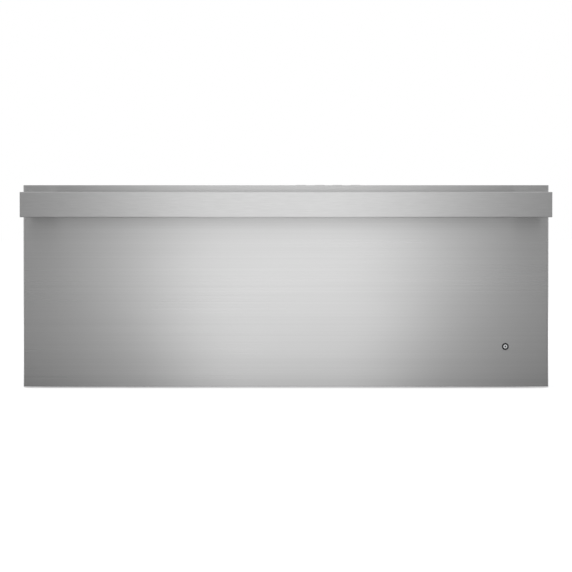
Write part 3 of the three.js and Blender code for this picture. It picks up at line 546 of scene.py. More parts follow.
def bevel_picked(width, segments):
    bpy.ops.mesh.bevel(offset=width, segments=segments, affect="EDGES")
    leave_edit()


def face_towards(direction, limit=0.9):
    """A test that a face's normal passes when it points in a direction."""
    return lambda normal: normal.dot(direction) > limit


def along(axis, *checks):
    """A test that an edge passes when it runs along an axis and its first end passes every check."""
    def test(first, second):
        way = (second - first).normalized()
        return abs(way[axis]) > 0.99 and all(check(first) for check in checks)
    return test


def apply_modifier(piece, kind, **settings):
    """Adds a modifier, sets it and applies it."""
    choose(piece)
    modifier = piece.modifiers.new(kind.title(), kind)
    for key, value in settings.items():
        setattr(modifier, key, value)
    bpy.ops.object.modifier_apply(modifier=modifier.name)


def round_edges(piece, width, segments=3, limit=35):
    """Rounds every edge that is sharper than the limit."""
    apply_modifier(piece, "BEVEL", width=width, segments=segments, limit_method="ANGLE",
                   angle_limit=math.radians(limit), use_clamp_overlap=True)


def repeat(piece, count, step):
    """Copies a piece in a row, each one step from the last."""
    apply_modifier(piece, "ARRAY", count=count, use_relative_offset=False, use_constant_offset=True,
                   constant_offset_displace=step)


def break_edges(piece, share=1.0):
    """Breaks a piece's sharp edges finely, and leaves the facets of its rounds."""
    round_edges(piece, sizes().fine_edge * share, segments=2, limit=50)


def smooth(piece):
    """Curved faces shade smoothly, and flat ones stay flat up to their rounded edges."""
    choose(piece)
    bpy.ops.object.shade_smooth_by_angle(angle=SMOOTH_ANGLE)
    apply_modifier(piece, "WEIGHTED_NORMAL", keep_sharp=True)


def combine(piece, operation, others):
    """Joins or takes other shapes to or from a piece, and removes them."""
    for other in others:
        apply_modifier(piece, "BOOLEAN", operation=operation, solver="EXACT", object=other)
        bpy.data.objects.remove(other)


def cut_out(piece, *cutters):
    """Takes the cutters' shapes out of a piece."""
    combine(piece, "DIFFERENCE", cutters)


def join_solid(piece, *additions):
    """Joins shapes into a piece as one solid."""
    combine(piece, "UNION", additions)


def cut_cross(head, x, z, radius, bottom, top):
    """Cuts a cross recess into the back of a screw's head."""
    for wide, tall in CROSS_ARMS:
        arm_low = (x - wide * radius, bottom, z - tall * radius)
        arm_high = (x + wide * radius, top + CUT_REACH, z + tall * radius)
        cut_out(head, add_block("recess", arm_low, arm_high))


def weld(name, parts):
    """Joins parts into one piece."""
    clear_selection()
    for part in parts:
        part.select_set(True)
    bpy.context.view_layer.objects.active = parts[0]
    bpy.ops.object.join()
    return keep_place(name)


def rounded_plate(name, axis, low, high, radius, segments=8):
    """A block whose four edges along one axis are rounded."""
    plate = add_block(name, low, high)
    pick_edges(plate, along("xyz".index(axis)))
    bevel_picked(radius, segments)
    return plate


def around(node, margin, bottom, top):
    """A solid's outline from above, wider by a margin, from one height to another."""
    low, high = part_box(node)
    return (low[0] - margin, low[1] - margin, bottom), (high[0] + margin, high[1] + margin, top)


def copy_moved(piece, name, shift):
    """A copy with its own mesh, moved."""
    choose(piece)
    bpy.ops.object.duplicate()
    bpy.context.object.location = shift
    return keep_place(name)


def face_outwards(piece):
    """Turns the faces of a closed piece outwards."""
    shape = enter_edit(piece, "FACE")
    if shape.calc_volume(signed=True) < 0:
        bpy.ops.mesh.select_all(action="SELECT")
        bpy.ops.mesh.flip_normals()
    leave_edit()


def copy_mirrored(piece, name):
    """A copy with its own mesh on the other side of the middle."""
    choose(piece)
    bpy.ops.object.duplicate()
    bpy.context.object.scale = (-1, 1, 1)
    twin = keep_place(name)
    face_outwards(twin)
    return twin


def lay_grain(piece):
    """A UV map whose first direction runs level along every face, for the brushed finish."""
    enter_edit(piece, "FACE")
    bpy.ops.mesh.select_all(action="SELECT")
    bpy.ops.uv.cube_project(cube_size=1.0, correct_aspect=False)
    leave_edit()


def middle_of(node):
    low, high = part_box(node)
    return (Vector(low) + Vector(high)) / 2


def turned(node):
    """A round solid that lies from front to back: its middle, its two ends and its radius."""
    low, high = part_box(node)
    x, _, z = middle_of(node)
    return x, z, low[1], high[1], (high[0] - low[0]) / 2


def carry(piece, node, slot, finish=None):
    """Smooths and dresses a piece, where that isn't done yet, and lets it move with a solid."""
    if not piece.data.has_custom_normals:
        smooth(piece)
    if not piece.data.materials:
        wear(piece, finish or slot)
    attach(piece, BODY_OF[node])


def place(piece, node, slot, finish=None):
    """A finished piece that takes a solid's place and moves with it."""
    carry(piece, node, slot, finish)
    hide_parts(node)


# ---- bars along a path


def tube_along(name, points, radius, sides):
    """A round bar bent along points: a line of points, turned into a curve and thickened."""
    clear_selection()
    bpy.ops.mesh.primitive_plane_add(size=1)
    line = bpy.context.object
    enter_edit(line, "VERT")
    bpy.ops.mesh.select_all(action="SELECT")
    bpy.ops.mesh.delete(type="VERT")
    shape = bmesh.from_edit_mesh(line.data)
    corners = [shape.verts.new(point) for point in points]
    for start, end in zip(corners, corners[1:]):
        shape.edges.new((start, end))
    bmesh.update_edit_mesh(line.data)
    leave_edit()
    bpy.ops.object.convert(target="CURVE")
    line = bpy.context.object
    line.data.dimensions = "3D"
    line.data.bevel_depth = radius
    line.data.bevel_resolution = sides // 4 - 1
    line.data.use_fill_caps = True
    bpy.ops.object.convert(target="MESH")
    tube = keep_place(name)
    enter_edit(tube, "VERT")
    bpy.ops.mesh.select_all(action="SELECT")
    bpy.ops.mesh.remove_doubles(threshold=0.001 * MM)
    leave_edit()
    face_outwards(tube)
    return tube


def rounded_route(corners, radius, steps=8):
    """Points along a route whose corners are turned by arcs."""
    corners = [Vector(corner) for corner in corners]
    points = [corners[0]]
    for previous, corner, following in zip(corners, corners[1:], corners[2:]):
        before = (previous - corner).normalized()
        after = (following - corner).normalized()
        half = before.angle(after) / 2
        inset = radius / math.tan(half)
        centre = corner + (before + after).normalized() * radius / math.sin(half)
        first = corner + before * inset - centre
        last = corner + after * inset - centre
        turn = first.angle(last)
        for step in range(steps + 1):
            share = step / steps
            blend = first * math.sin((1 - share) * turn) + last * math.sin(share * turn)
            points.append(centre + blend / math.sin(turn))
    return [*points, corners[-1]]


# ---- drawer front


class WARMER_OT_front_skin(bpy.types.Operator):
    """Model the folded sheet of the drawer's front"""

    bl_idname = "warmer.front_skin"
    bl_label = "Front Skin"

    def execute(self, context):
        low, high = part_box("front_skin")
        sheet, bend = sizes().skin_sheet, sizes().skin_bend
        skin = self.bent_block("front_sheet", low, high, bend)
        inner_low = [edge + sheet for edge in low]
        inner_high = (high[0] - sheet, high[1] + CUT_REACH, high[2] - sheet)
        cut_out(skin, self.bent_block("hollow", inner_low, inner_high, bend - sheet))
        round_edges(skin, sizes().fine_edge, segments=2)
        cut_out(skin, *self.openings(low, high, sheet))
        lay_grain(skin)
        place(skin, "front_skin", "brushed_stainless")
        return {"FINISHED"}

    def bent_block(self, name, low, high, bend):
        """A block whose two upright front edges are bent round."""
        block = add_block(name, low, high)
        pick_edges(block, along(2, lambda at: at.y < low[1] + EDGE_REACH))
        bevel_picked(bend, segments=6)
        return block

    def openings(self, low, high, sheet):
        """The console's slot, the two screw bores and the lamp's bore."""
        console_low, console_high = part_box("console_housing")
        slot_low = (console_low[0] - GAP, low[1] + sheet - EDGE_REACH, console_low[2])
        slot_high = (console_high[0] + GAP, high[1] + CUT_REACH, high[2] + CUT_REACH)
        cutters = [add_block("slot", slot_low, slot_high)]
        bores = [(f"handle_screw_{side}", sizes().screw_radius) for side in SIDES]
        start, end = low[1] - CUT_REACH, low[1] + sheet + CUT_REACH
        for node, radius in [*bores, ("indicator_bezel", sizes().sleeve_radius)]:
            x, _, z = middle_of(node)
            cutters.append(add_rod_back("bore", x, z, start, end, radius + GAP))
        return cutters


class WARMER_OT_handle(bpy.types.Operator):
    """Model the flat bar, its two posts and their screws"""

    bl_idname = "warmer.handle"
    bl_label = "Handle"

    def execute(self, context):
        self.bar()
        self.post()
        self.screw()
        return {"FINISHED"}

    def bar(self):
        """A solid flat bar with fine broken edges all round."""
        bar = add_block("flat_handle_bar", *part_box("handle_bar"))
        round_edges(bar, sizes().handle_edge, segments=4)
        lay_grain(bar)
        # The bar wears the front's steel tinted darker: painted shade.
        place(bar, "handle_bar", "brushed_stainless", finish="handle_stainless_painted_shade")

    def post(self):
        """A short post with rounded corners, bored for its screw."""
        low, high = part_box("handle_post_right")
        post = rounded_plate("handle_post_right_solid", "y", low, high, sizes().post_corner)
        round_edges(post, sizes().crisp_edge, segments=2)
        x, z, tip, _, _ = turned("handle_screw_right")
        bore = sizes().screw_radius + GAP
        cut_out(post, add_rod_back("bore", x, z, tip - GAP, high[1] + CUT_REACH, bore))
        lay_grain(post)
        smooth(post)
        twin = copy_mirrored(post, "handle_post_left_solid")
        place(post, "handle_post_right", "brushed_stainless")
        place(twin, "handle_post_left", "brushed_stainless")

    def screw(self):
        """A pan head with a cross recess, and a threaded shank."""
        x, z, tip, back, radius = turned("handle_screw_right")
        seat = back - sizes().screw_head
        head = add_rod_back("head", x, z, seat, back, radius, sides=40)
        pick_edges(head, lambda first, second: min(first.y, second.y) > back - EDGE_REACH)
        bevel_picked(sizes().screw_head * HEAD_DOME, segments=5)
        cut_cross(head, x, z, radius, back - CROSS_DEPTH, back)
        screw = weld("handle_screw_right_threaded", [head, self.threaded_shank(x, z, tip, seat)])
        twin = copy_moved(screw, "handle_screw_left_threaded", (-2 * x, 0, 0))
        place(screw, "handle_screw_right", "plated_steel")
        place(twin, "handle_screw_left", "plated_steel")

    def threaded_shank(self, x, z, tip_y, head_y):
        """A rod whose rings swell and narrow as a thread's ridges do."""
        shank = add_rod_back("shank", x, z, tip_y, head_y - EDGE_REACH, sizes().screw_radius, sides=16)
        turns = int((head_y - tip_y) / THREAD_PITCH / 2)
        pick_edges(shank, along(1))
        bpy.ops.mesh.subdivide(number_cuts=2 * turns)
        leave_edit()
        rings = sorted({round(point.co.y, 7) for point in shank.data.vertices})
        roots = set(rings[1:-1:2])
        pick(shank, "VERT", lambda point: round(point.co.y, 7) in roots)
        bpy.ops.transform.resize(value=(THREAD_ROOT, 1, THREAD_ROOT), center_override=(x, tip_y, z))
        leave_edit()
        return shank


class WARMER_OT_indicator(bpy.types.Operator):
    """Model the indicator lamp's bezel, lens and lamp"""

    bl_idname = "warmer.indicator"
    bl_label = "Indicator"

    def execute(self, context):
        self.bezel()
        self.lens()
        self.lamp()
        return {"FINISHED"}

    def bezel(self):
        """A turned ring with rounded lips, on a thin sleeve."""
        x, z, front, back, radius = turned("indicator_bezel")
        ring_end = front + sizes().bezel_proud
        ring = add_rod_back("indicator_ring", x, z, front, ring_end, radius, sides=64)
        sleeve = add_rod_back("sleeve", x, z, ring_end - EDGE_REACH, back, sizes().sleeve_radius, sides=64)
        join_solid(ring, sleeve)
        bore = turned("indicator_lens")[-1] + GAP
        cut_out(ring, add_rod_back("bore", x, z, front - CUT_REACH, back + CUT_REACH, bore, sides=64))
        round_edges(ring, sizes().bezel_edge, limit=50)
        place(ring, "indicator_bezel", "strip_gloss")

    def lens(self):
        """A clear plug with a rounded front edge and a hole for the lamp's tip."""
        x, z, front, back, radius = turned("indicator_lens")
        lens = add_rod_back("indicator_lens_plug", x, z, front, back, radius, sides=64)
        hole = sizes().emitter_radius + GAP
        cut_out(lens, add_rod_back("bore", x, z, front - CUT_REACH, back + CUT_REACH, hole))
        round_edges(lens, sizes().bezel_edge, limit=50)
        place(lens, "indicator_lens", "lens_plastic")

    def lamp(self):
        """A round body with softened edges, and a domed tip that stands in the lens."""
        x, z, front, back, radius = turned("indicator_lamp")
        body_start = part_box("indicator_bezel")[1][1] + GAP
        body = add_rod_back("lamp_body", x, z, body_start, back, radius, sides=40)
        round_edges(body, sizes().bezel_edge * 2, limit=50)
        tip_radius = sizes().emitter_radius
        tip = add_rod_back("lamp_tip", x, z, front, body_start + EDGE_REACH, tip_radius, sides=24)
        pick_edges(tip, lambda first, second: max(first.y, second.y) < front + EDGE_REACH)
        bevel_picked(tip_radius * TIP_DOME, segments=5)
        place(weld("indicator_lamp_body", [body, tip]), "indicator_lamp", "black_plastic")


# ---- console


class WARMER_OT_console(bpy.types.Operator):
    """Model the control strip, its display window and the four keys"""

    bl_idname = "warmer.console"
    bl_label = "Console"

    def execute(self, context):
        self.strip()
        self.window()
        self.keys()
        return {"FINISHED"}

    def strip(self):
        """A glossy strip with broken edges, cut out for the keys and the window."""
        low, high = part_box("control_strip")
        strip = add_block("glossy_control_strip", low, high)
        bottom, top = low[2] - CUT_REACH, high[2] + CUT_REACH
        for number in KEY_NUMBERS:
            hole = around(f"control_key_{number}", GAP - sizes().key_collar, bottom, top)
            cut_out(strip, rounded_plate("hole", "z", *hole, sizes().key_edge + GAP, segments=5))
        pocket = around("display_window", GAP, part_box("display_window")[0][2] - GAP, top)
        cut_out(strip, rounded_plate("pocket", "z", *pocket, sizes().crisp_edge, segments=5))
        light = around("display_window", -sizes().window_ledge, bottom, top)
        cut_out(strip, add_block("light", *light))
        break_edges(strip)
        place(strip, "control_strip", "strip_gloss")

    def window(self):
        """A thin pane with ground edges and rounded corners."""
        pane = rounded_plate("display_pane", "z", *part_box("display_window"), sizes().crisp_edge, segments=5)
        break_edges(pane, PANE_EDGE)
        place(pane, "display_window", "window_glass")

    def keys(self):
        """A dished cap on a collar, with a stem below; modelled once and copied."""
        x, y, _ = middle_of("control_key_1")
        strip_low, strip_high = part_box("control_strip")
        top = strip_high[2] + sizes().key_stand
        collar_top = strip_low[2] - GAP
        collar_bottom = collar_top - sizes().key_collar_thickness
        cap_box = around("control_key_1", -sizes().key_collar, collar_top - EDGE_REACH, top)
        cap = self.cap(cap_box, (x, y, top))
        outline = around("control_key_1", 0, collar_bottom, collar_top)
        collar = rounded_plate("collar", "z", *outline, sizes().key_edge, segments=5)
        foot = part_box("control_key_1")[0][2]
        stem = add_rod("stem", "z", (x, y, foot), (x, y, collar_bottom + EDGE_REACH), sizes().key_stem)
        keys = [weld("key_cap_1", [cap, collar, stem])]
        for number in KEY_NUMBERS[1:]:
            shift = middle_of(f"control_key_{number}") - middle_of("control_key_1")
            keys.append(copy_moved(keys[0], f"key_cap_{number}", shift))
        for number, key in zip(KEY_NUMBERS, keys):
            place(key, f"control_key_{number}", "key_plastic")

    def cap(self, box, centre):
        """A cap with a rounded rim, whose top sinks in rings to a shallow dish."""
        cap = rounded_plate("cap", "z", *box, sizes().key_edge, segments=5)
        pick_faces(cap, face_towards(UP))
        bpy.ops.mesh.region_to_loop()
        bevel_picked(sizes().fine_edge, segments=3)
        pick_faces(cap, face_towards(UP, limit=0.999))
        for share, drop in KEY_DISH:
            bpy.ops.mesh.extrude_region_move(TRANSFORM_OT_translate={"value": (0, 0, -drop)})
            bpy.ops.transform.resize(value=(share, share, 1), center_override=centre)
        leave_edit()
        return cap


# ---- seal, pan and rack


class WARMER_OT_gasket(bpy.types.Operator):
    """Model the seal: a rounded bulb on a flat foot, run round the drawer's back"""

    bl_idname = "warmer.gasket"
    bl_label = "Gasket"

    def execute(self, context):
        low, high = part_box("door_gasket")
        width, bend, foot = sizes().gasket_width, sizes().gasket_bend, sizes().gasket_foot
        seal = rounded_plate("bulb_gasket", "y", low, (high[0], low[1] + foot, high[2]), bend + width)
        inner_low = (low[0] + width, low[1] - CUT_REACH, low[2] + width)
        inner_high = (high[0] - width, high[1], high[2] - width)
        cut_out(seal, rounded_plate("hollow", "y", inner_low, inner_high, bend))
        pick_faces(seal, face_towards(-FRONT))
        bpy.ops.mesh.inset(thickness=sizes().gasket_ledge)
        bpy.ops.mesh.extrude_region_move(TRANSFORM_OT_translate={"value": (0, high[1] - low[1] - foot, 0)})
        bpy.ops.mesh.region_to_loop()
        bevel_picked(sizes().gasket_round, segments=6)
        break_edges(seal)
        place(seal, "door_gasket", "gasket_rubber")
        return {"FINISHED"}


class WARMER_OT_pan(bpy.types.Operator):
    """Model the deep-drawn pan with its flat rim"""

    bl_idname = "warmer.pan"
    bl_label = "Pan"

    def execute(self, context):
        low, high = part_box("drawer_pan")
        rim, sheet = sizes().rim_width, sizes().pan_sheet
        corner, floor_bend = sizes().pan_corner, sizes().pan_floor_bend
        well = around("drawer_pan", -rim, low[2], high[2] - sheet / 2)
        pan = self.tub("deep_drawn_pan", *well, corner, floor_bend)
        flange_low = (low[0], low[1], high[2] - sheet)
        join_solid(pan, rounded_plate("flange", "z", flange_low, high, sizes().rim_corner))
        hollow = around("drawer_pan", -rim - sheet, low[2] + sheet, high[2] + CUT_REACH)
        cut_out(pan, self.tub("hollow", *hollow, corner - sheet, floor_bend - sheet))
        break_edges(pan)
        lay_grain(pan)
        place(pan, "drawer_pan", "brushed_stainless", finish="pan_stainless")
        return {"FINISHED"}

    def tub(self, name, low, high, corner, floor_bend):
        """A block with rounded upright corners and a rounded edge round its floor."""
        block = rounded_plate(name, "z", low, high, corner)
        pick_edges(block, lambda first, second: max(first.z, second.z) < low[2] + EDGE_REACH)
        bevel_picked(floor_bend, segments=6)
        return block


class WARMER_OT_rack(bpy.types.Operator):
    """Model the lift-out rack from round wires with rounded ends"""

    bl_idname = "warmer.rack"
    bl_label = "Wire Rack"

    def execute(self, context):
        low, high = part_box("wire_rack")
        wire = sizes().wire_radius
        bar_z = high[2] - wire
        runner_z = bar_z - wire
        bar = self.wire("bar", "x", (low[0], low[1] + wire, bar_z), (high[0], low[1] + wire, bar_z))
        self.lay_row(bar, (0, high[1] - low[1] - 2 * wire, 0), sizes().rack_bars)
        runner_x = low[0] + wire
        runner = self.wire("runner", "y", (runner_x, low[1], runner_z), (runner_x, high[1], runner_z))
        self.lay_row(runner, (high[0] - low[0] - 2 * wire, 0, 0), sizes().rack_runners)
        inset = sizes().rack_foot_inset
        feet = [self.wire("foot", "z", (x, y, low[2]), (x, y, runner_z))
                for x in (runner_x, high[0] - wire) for y in (low[1] + inset, high[1] - inset)]
        place(weld("welded_wire_rack", [bar, runner, *feet]), "wire_rack", "plated_steel")
        return {"FINISHED"}

    def wire(self, name, axis, start, end):
        """A straight wire whose two ends are rounded over."""
        bar = add_rod(name, axis, start, end, sizes().wire_radius, sides=16)
        round_edges(bar, sizes().wire_radius * WIRE_END, segments=3, limit=50)
        return bar

    def lay_row(self, wire, reach, count):
        """Repeats a wire side by side, evenly over the reach."""
        repeat(wire, count, Vector(reach) / (count - 1))


# ---- heater


class WARMER_OT_element(bpy.types.Operator):
    """Model the bent heating element with its terminals"""

    bl_idname = "warmer.element"
    bl_label = "Heating Element"

    def execute(self, context):
        low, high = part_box("heating_element")
        radius, tail = sizes().element_radius, sizes().element_tail
        z = (low[2] + high[2]) / 2
        cover_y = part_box("chassis_back")[1][1]
        sheath_end = cover_y + sizes().element_sheath_end
        right, front, back = high[0] - radius, low[1] + radius, sizes().element_back
        corners = [(tail, sheath_end, z), (tail, back, z), (right, back, z), (right, front, z),
                   (-right, front, z), (-right, back, z), (-tail, back, z), (-tail, sheath_end, z)]
        tube = tube_along("bent_element", rounded_route(corners, sizes().element_bend), radius, sides=20)
        terminals = [self.terminal(x, z, sheath_end, high[1]) for x in (-tail, tail)]
        place(weld("sheathed_element", [tube, *terminals]), "heating_element", "element_sheath")
        return {"FINISHED"}

    def terminal(self, x, z, start_y, end_y):
        """An insulating bush and the pin that comes out of it."""
        bush_end = start_y + (end_y - start_y) * BUSH_LENGTH
        radius = sizes().element_radius
        bush = add_rod_back("bush", x, z, start_y - EDGE_REACH, bush_end, radius * BUSH_WIDTH)
        pin = add_rod_back("pin", x, z, bush_end - EDGE_REACH, end_y, radius * PIN_WIDTH, sides=16)
        round_edges(bush, sizes().fine_edge * 2, segments=3, limit=50)
        break_edges(pin)
        return weld("terminal", [bush, pin])


# ---- slides


class WARMER_OT_cages(bpy.types.Operator):
    """Model the slides' ball cages with their balls"""

    bl_idname = "warmer.cages"
    bl_label = "Ball Cages"

    def execute(self, context):
        for stage in ("outer", "inner"):
            right = self.cage(stage)
            left = copy_mirrored(right, f"caged_balls_{stage}_left")
            place(right, f"ball_cage_{stage}_right", "cage_plastic")
            place(left, f"ball_cage_{stage}_left", "cage_plastic")
        return {"FINISHED"}

    def cage(self, stage):
        """A thin channel with a row of balls in each of its edges."""
        low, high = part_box(f"ball_cage_{stage}_right")
        sheet, ball = sizes().cage_sheet, sizes().ball_radius
        inset = ball - sheet / 2
        bottom, top = low[2] + inset, high[2] - inset
        strip = add_block("strip", (low[0], low[1], bottom), (high[0], high[1], top))
        hollow_low = (low[0] - CUT_REACH, low[1] - CUT_REACH, bottom + sheet)
        hollow_high = (high[0] - sheet, high[1] + CUT_REACH, top - sheet)
        cut_out(strip, add_block("hollow", hollow_low, hollow_high))
        round_edges(strip, sheet * CAGE_EDGE, segments=2)
        wear(strip, "cage_plastic")
        rows = [self.ball_row((low[0] + ball + sheet, low[1], z), high[1] - low[1])
                for z in (bottom + sheet / 2, top - sheet / 2)]
        cage = weld(f"caged_balls_{stage}_right", [strip, *rows])
        smooth(cage)
        return cage

    def ball_row(self, start, run):
        """Balls spread evenly over a run, with half a pitch at each end."""
        pitch = run / BALLS_PER_ROW
        ball = add_ball("ball", Vector(start) + Vector((0, pitch / 2, 0)), sizes().ball_radius, segments=20)
        repeat(ball, BALLS_PER_ROW, (0, pitch, 0))
        wear(ball, "slide_steel")
        return ball


# ---- small fasteners


class WARMER_OT_fasteners(bpy.types.Operator):
    """Model the sheet screws of the covers and the rivets of the chassis"""

    bl_idname = "warmer.fasteners"
    bl_label = "Fasteners"

    def execute(self, context):
        cover_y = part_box("rear_cover")[0][1] + sizes().cover_sheet
        self.hex_screws("rear_cover", "rear_cover_screws", cover_y, sizes().screw_inset)
        self.wiring_cover()
        back_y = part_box("chassis_back")[1][1]
        self.hex_screws("chassis_back", "back_sheet_screws", back_y, sizes().back_screw_inset)
        self.side_rivets()
        return {"FINISHED"}

    def corners(self, node, inset):
        """The places, from behind, of the four screws of a cover."""
        low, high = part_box(node)
        return [(x, z) for x in (low[0] + inset, high[0] - inset) for z in (low[2] + inset, high[2] - inset)]

    def hex_screw(self):
        """A hexagon head on a washer, with a slot, at the origin and facing back."""
        head, radius = sizes().hex_head, sizes().hex_radius
        washer = add_rod_back("washer", 0, 0, -EDGE_REACH, head * WASHER_HEIGHT, radius * WASHER_WIDTH)
        round_edges(washer, head * WASHER_EDGE, segments=2, limit=50)
        hexagon = add_rod_back("hexagon", 0, 0, head * HEXAGON_START, head, radius, sides=6)
        round_edges(hexagon, head * HEXAGON_EDGE, segments=2)
        half_slot = radius * SLOT_WIDTH
        slot_high = (radius, head + CUT_REACH, half_slot)
        cut_out(hexagon, add_block("slot", (-radius, head * SLOT_FLOOR, -half_slot), slot_high))
        return weld("hex_screw", [washer, hexagon])

    def hex_screws(self, node, name, surface_y, inset):
        """A screw near each corner of a cover."""
        screw = self.hex_screw()
        copies = [copy_moved(screw, "screw", (x, surface_y, z)) for x, z in self.corners(node, inset)]
        bpy.data.objects.remove(screw)
        carry(weld(name, copies), node, "plated_steel")

    def wiring_cover(self):
        """The wiring box's cover, with four flat screws sunk flush in it."""
        low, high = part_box("wiring_box_cover")
        cover = rounded_plate("flush_screwed_cover", "y", low, high, sizes().cover_corner)
        sunk = high[1] - SUNK_HEAD
        screws = []
        for x, z in self.corners("wiring_box_cover", sizes().flat_screw_inset):
            cut_out(cover, add_rod_back("sink", x, z, sunk, high[1] + CUT_REACH, sizes().hex_radius))
            screws.append(self.flat_screw(x, z, sunk, high[1] - EDGE_REACH))
        break_edges(cover)
        place(cover, "wiring_box_cover", "galvanised_steel")
        carry(weld("wiring_cover_screws", screws), "wiring_box_cover", "plated_steel")

    def flat_screw(self, x, z, bottom, top):
        """A flat head with a cross recess."""
        radius = sizes().hex_radius - SUNK_GAP
        head = add_rod_back("head", x, z, bottom, top, radius)
        cut_cross(head, x, z, radius, (bottom + top) / 2, top)
        return head

    def side_rivets(self):
        """Domed rivets down the chassis' two sides, near the front and the back."""
        low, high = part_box("chassis_right_side")
        outside, inset = high[0] - sizes().flange_width, sizes().rivet_inset
        rivet = add_ball("rivet", (0, 0, 0), sizes().rivet_radius, segments=24)
        rivet.scale = (RIVET_DOME, 1, 1)
        keep_place("rivet")
        heights = [low[2] + (high[2] - low[2]) * share for share in RIVET_HEIGHTS]
        copies = [copy_moved(rivet, "rivet", (outside, y, z))
                  for y in (low[1] + inset, high[1] - inset) for z in heights]
        bpy.data.objects.remove(rivet)
        right = weld("side_rivets_right", copies)
        left = copy_mirrored(right, "side_rivets_left")
        carry(right, "chassis_right_side", "plated_steel")
        carry(left, "chassis_left_side", "plated_steel")


# ---- finishes of the solids that stay


class WARMER_OT_solids(bpy.types.Operator):
    """Give every solid that stays in view its finish"""

    bl_idname = "warmer.solids"
    bl_label = "Plain Solids"

    def execute(self, context):
        for part in frame["record"]["subparts"]:
            wear(frame["nodes"][part["node"]], part["material_slot"])
        return {"FINISHED"}


# ---- stage


def seen_directly(tree):
    """1 for rays from the camera, from gloss and through glass, and 0 for the rest."""
    rays = tree.nodes.new("ShaderNodeLightPath").outputs
    total = rays["Is Camera Ray"]
    for kind in ("Is Glossy Ray", "Is Transmission Ray"):
        total = arithmetic(tree, "ADD", total, rays[kind])
        total.node.use_clamp = True
    return total


def turn_towards(thing, aim):
    """Turns a lamp or camera to look at a place."""
    thing.rotation_euler = (Vector(aim) - thing.location).to_track_quat("-Z", "Y").to_euler()


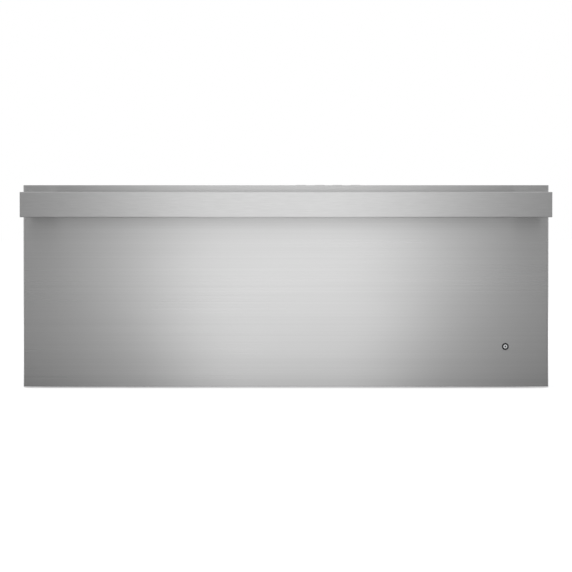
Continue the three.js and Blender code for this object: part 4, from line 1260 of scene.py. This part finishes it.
class WARMER_OT_stage(bpy.types.Operator):
    """Add the floor, the even light, the softbox and the camera"""

    bl_idname = "warmer.stage"
    bl_label = "Stage"

    def execute(self, context):
        self.world(context.scene)
        self.floor()
        self.softbox()
        self.lamps()
        self.camera(context.scene)
        context.scene.view_settings.view_transform = "Standard"
        return {"FINISHED"}

    def world(self, scene):
        """An even pale light, seen as white."""
        world = bpy.data.worlds.new("studio")
        world.use_nodes = True
        tree = world.node_tree
        background = tree.nodes["Background"]
        background.inputs["Color"].default_value = (1, 1, 1, 1)
        strength = spread(tree, seen_directly(tree), colours().fill, 1.0, start=0.0, end=1.0)
        tree.links.new(strength, background.inputs["Strength"])
        scene.world = world

    def floor(self):
        """A pale floor that keeps the object's shadow."""
        clear_selection()
        bpy.ops.mesh.primitive_plane_add(size=FLOOR_SIZE, location=(0, 0, -FLOOR_DROP))
        floor = keep_place("floor")
        finish, shader, tree = blank_finish("floor", (0.9, 0.9, 0.9), roughness=1.0)
        shader.inputs["Specular IOR Level"].default_value = 0.0
        shader.inputs["Emission Color"].default_value = (1, 1, 1, 1)
        lift = spread(tree, seen_directly(tree), 0.0, colours().floor_lift, start=0.0, end=1.0)
        tree.links.new(lift, shader.inputs["Emission Strength"])
        floor.data.materials.append(finish)

    def softbox(self):
        """A tall card with an apron on the floor, bright in its middle, that only gloss sees."""
        clear_selection()
        bpy.ops.mesh.primitive_plane_add(size=1, location=(0, CARD_Y, CARD_HEIGHT / 2),
                                         rotation=(math.pi / 2, 0, 0))
        bpy.context.object.scale = (CARD_WIDTH, CARD_HEIGHT, 1)
        card = keep_place("softbox_card")
        pick_edges(card, lambda first, second: max(first.z, second.z) < EDGE_REACH)
        bpy.ops.mesh.extrude_region_move(TRANSFORM_OT_translate={"value": (0, APRON_END_Y - CARD_Y, 0)})
        leave_edit()
        card.data.materials.append(self.softbox_finish())
        for ray in ("camera", "diffuse", "transmission", "shadow"):
            setattr(card, f"visible_{ray}", False)

    def softbox_finish(self):
        """Light that fades to both sides, and on the apron also narrows and dims towards the object."""
        finish = bpy.data.materials.new("softbox")
        finish.use_nodes = True
        tree = finish.node_tree
        tree.nodes.clear()
        source = tree.nodes.new("ShaderNodeTexCoord")
        split = tree.nodes.new("ShaderNodeSeparateXYZ")
        tree.links.new(source.outputs["Object"], split.inputs["Vector"])
        across = arithmetic(tree, "ADD", split.outputs["X"], -CARD_CENTRE_X)
        distance = arithmetic(tree, "ABSOLUTE", across)
        forward = split.outputs["Y"]
        narrowing = spread(tree, forward, 1.0, APRON_NARROWING, APRON_NARROWING_START_Y, APRON_END_Y)
        narrowed = arithmetic(tree, "MULTIPLY", distance, narrowing)
        full = colours().softbox
        fading = spread(tree, narrowed, full, full * CARD_DIM, CARD_PLATEAU, CARD_FADE_END)
        fading.node.interpolation_type = "SMOOTHSTEP"
        apron = spread(tree, forward, 1.0, APRON_SHARE, APRON_FADE_START_Y, APRON_END_Y)
        light = tree.nodes.new("ShaderNodeEmission")
        tree.links.new(arithmetic(tree, "MULTIPLY", fading, apron), light.inputs["Strength"])
        output = tree.nodes.new("ShaderNodeOutputMaterial")
        tree.links.new(light.outputs["Emission"], output.inputs["Surface"])
        return finish

    def lamps(self):
        """Two large soft lamps that gloss doesn't see."""
        for name, stand, power, size in LAMPS:
            clear_selection()
            bpy.ops.object.light_add(type="AREA", location=stand)
            lamp = bpy.context.object
            lamp.name = name
            lamp.data.shape = "DISK"
            lamp.data.size = size
            lamp.data.energy = power
            lamp.visible_glossy = False
            turn_towards(lamp, LAMP_AIM)

    def camera(self, scene):
        """Square on and a little from above, from far off."""
        clear_selection()
        bpy.ops.object.camera_add(location=CAMERA_PLACE)
        camera = bpy.context.object
        camera.data.lens = CAMERA_LENS
        camera.data.sensor_width = CAMERA_SENSOR
        turn_towards(camera, CAMERA_AIM)
        scene.camera = camera


# ---- add-on


class WARMER_PT_panel(bpy.types.Panel):
    """Lists the steps that build the warming drawer's looks"""

    bl_idname = "WARMER_PT_panel"
    bl_label = "Warming Drawer"
    bl_space_type = "VIEW_3D"
    bl_region_type = "UI"
    bl_category = "Warming Drawer"

    def draw(self, context):
        for group in (context.scene.warming_drawer_sizes, context.scene.warming_drawer_colours):
            for name in group.bl_rna.properties.keys():
                if name not in {"rna_type", "name"}:
                    self.layout.prop(group, name)
        for step in STEPS:
            self.layout.operator(step.bl_idname)


STEPS = (
    WARMER_OT_solids,
    WARMER_OT_front_skin,
    WARMER_OT_handle,
    WARMER_OT_indicator,
    WARMER_OT_console,
    WARMER_OT_gasket,
    WARMER_OT_pan,
    WARMER_OT_rack,
    WARMER_OT_element,
    WARMER_OT_cages,
    WARMER_OT_fasteners,
    WARMER_OT_stage,
)
CLASSES = (WarmingDrawerSizes, WarmingDrawerColours, *STEPS, WARMER_PT_panel)


def register():
    for item in CLASSES:
        bpy.utils.register_class(item)
    bpy.types.Scene.warming_drawer_sizes = bpy.props.PointerProperty(type=WarmingDrawerSizes)
    bpy.types.Scene.warming_drawer_colours = bpy.props.PointerProperty(type=WarmingDrawerColours)


def unregister():
    del bpy.types.Scene.warming_drawer_colours
    del bpy.types.Scene.warming_drawer_sizes
    for item in reversed(CLASSES):
        bpy.utils.unregister_class(item)


def main():
    """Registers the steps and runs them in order."""
    register()
    for step in STEPS:
        group, name = step.bl_idname.split(".")
        getattr(getattr(bpy.ops, group), name)()


if __name__ == "__main__":
    main()
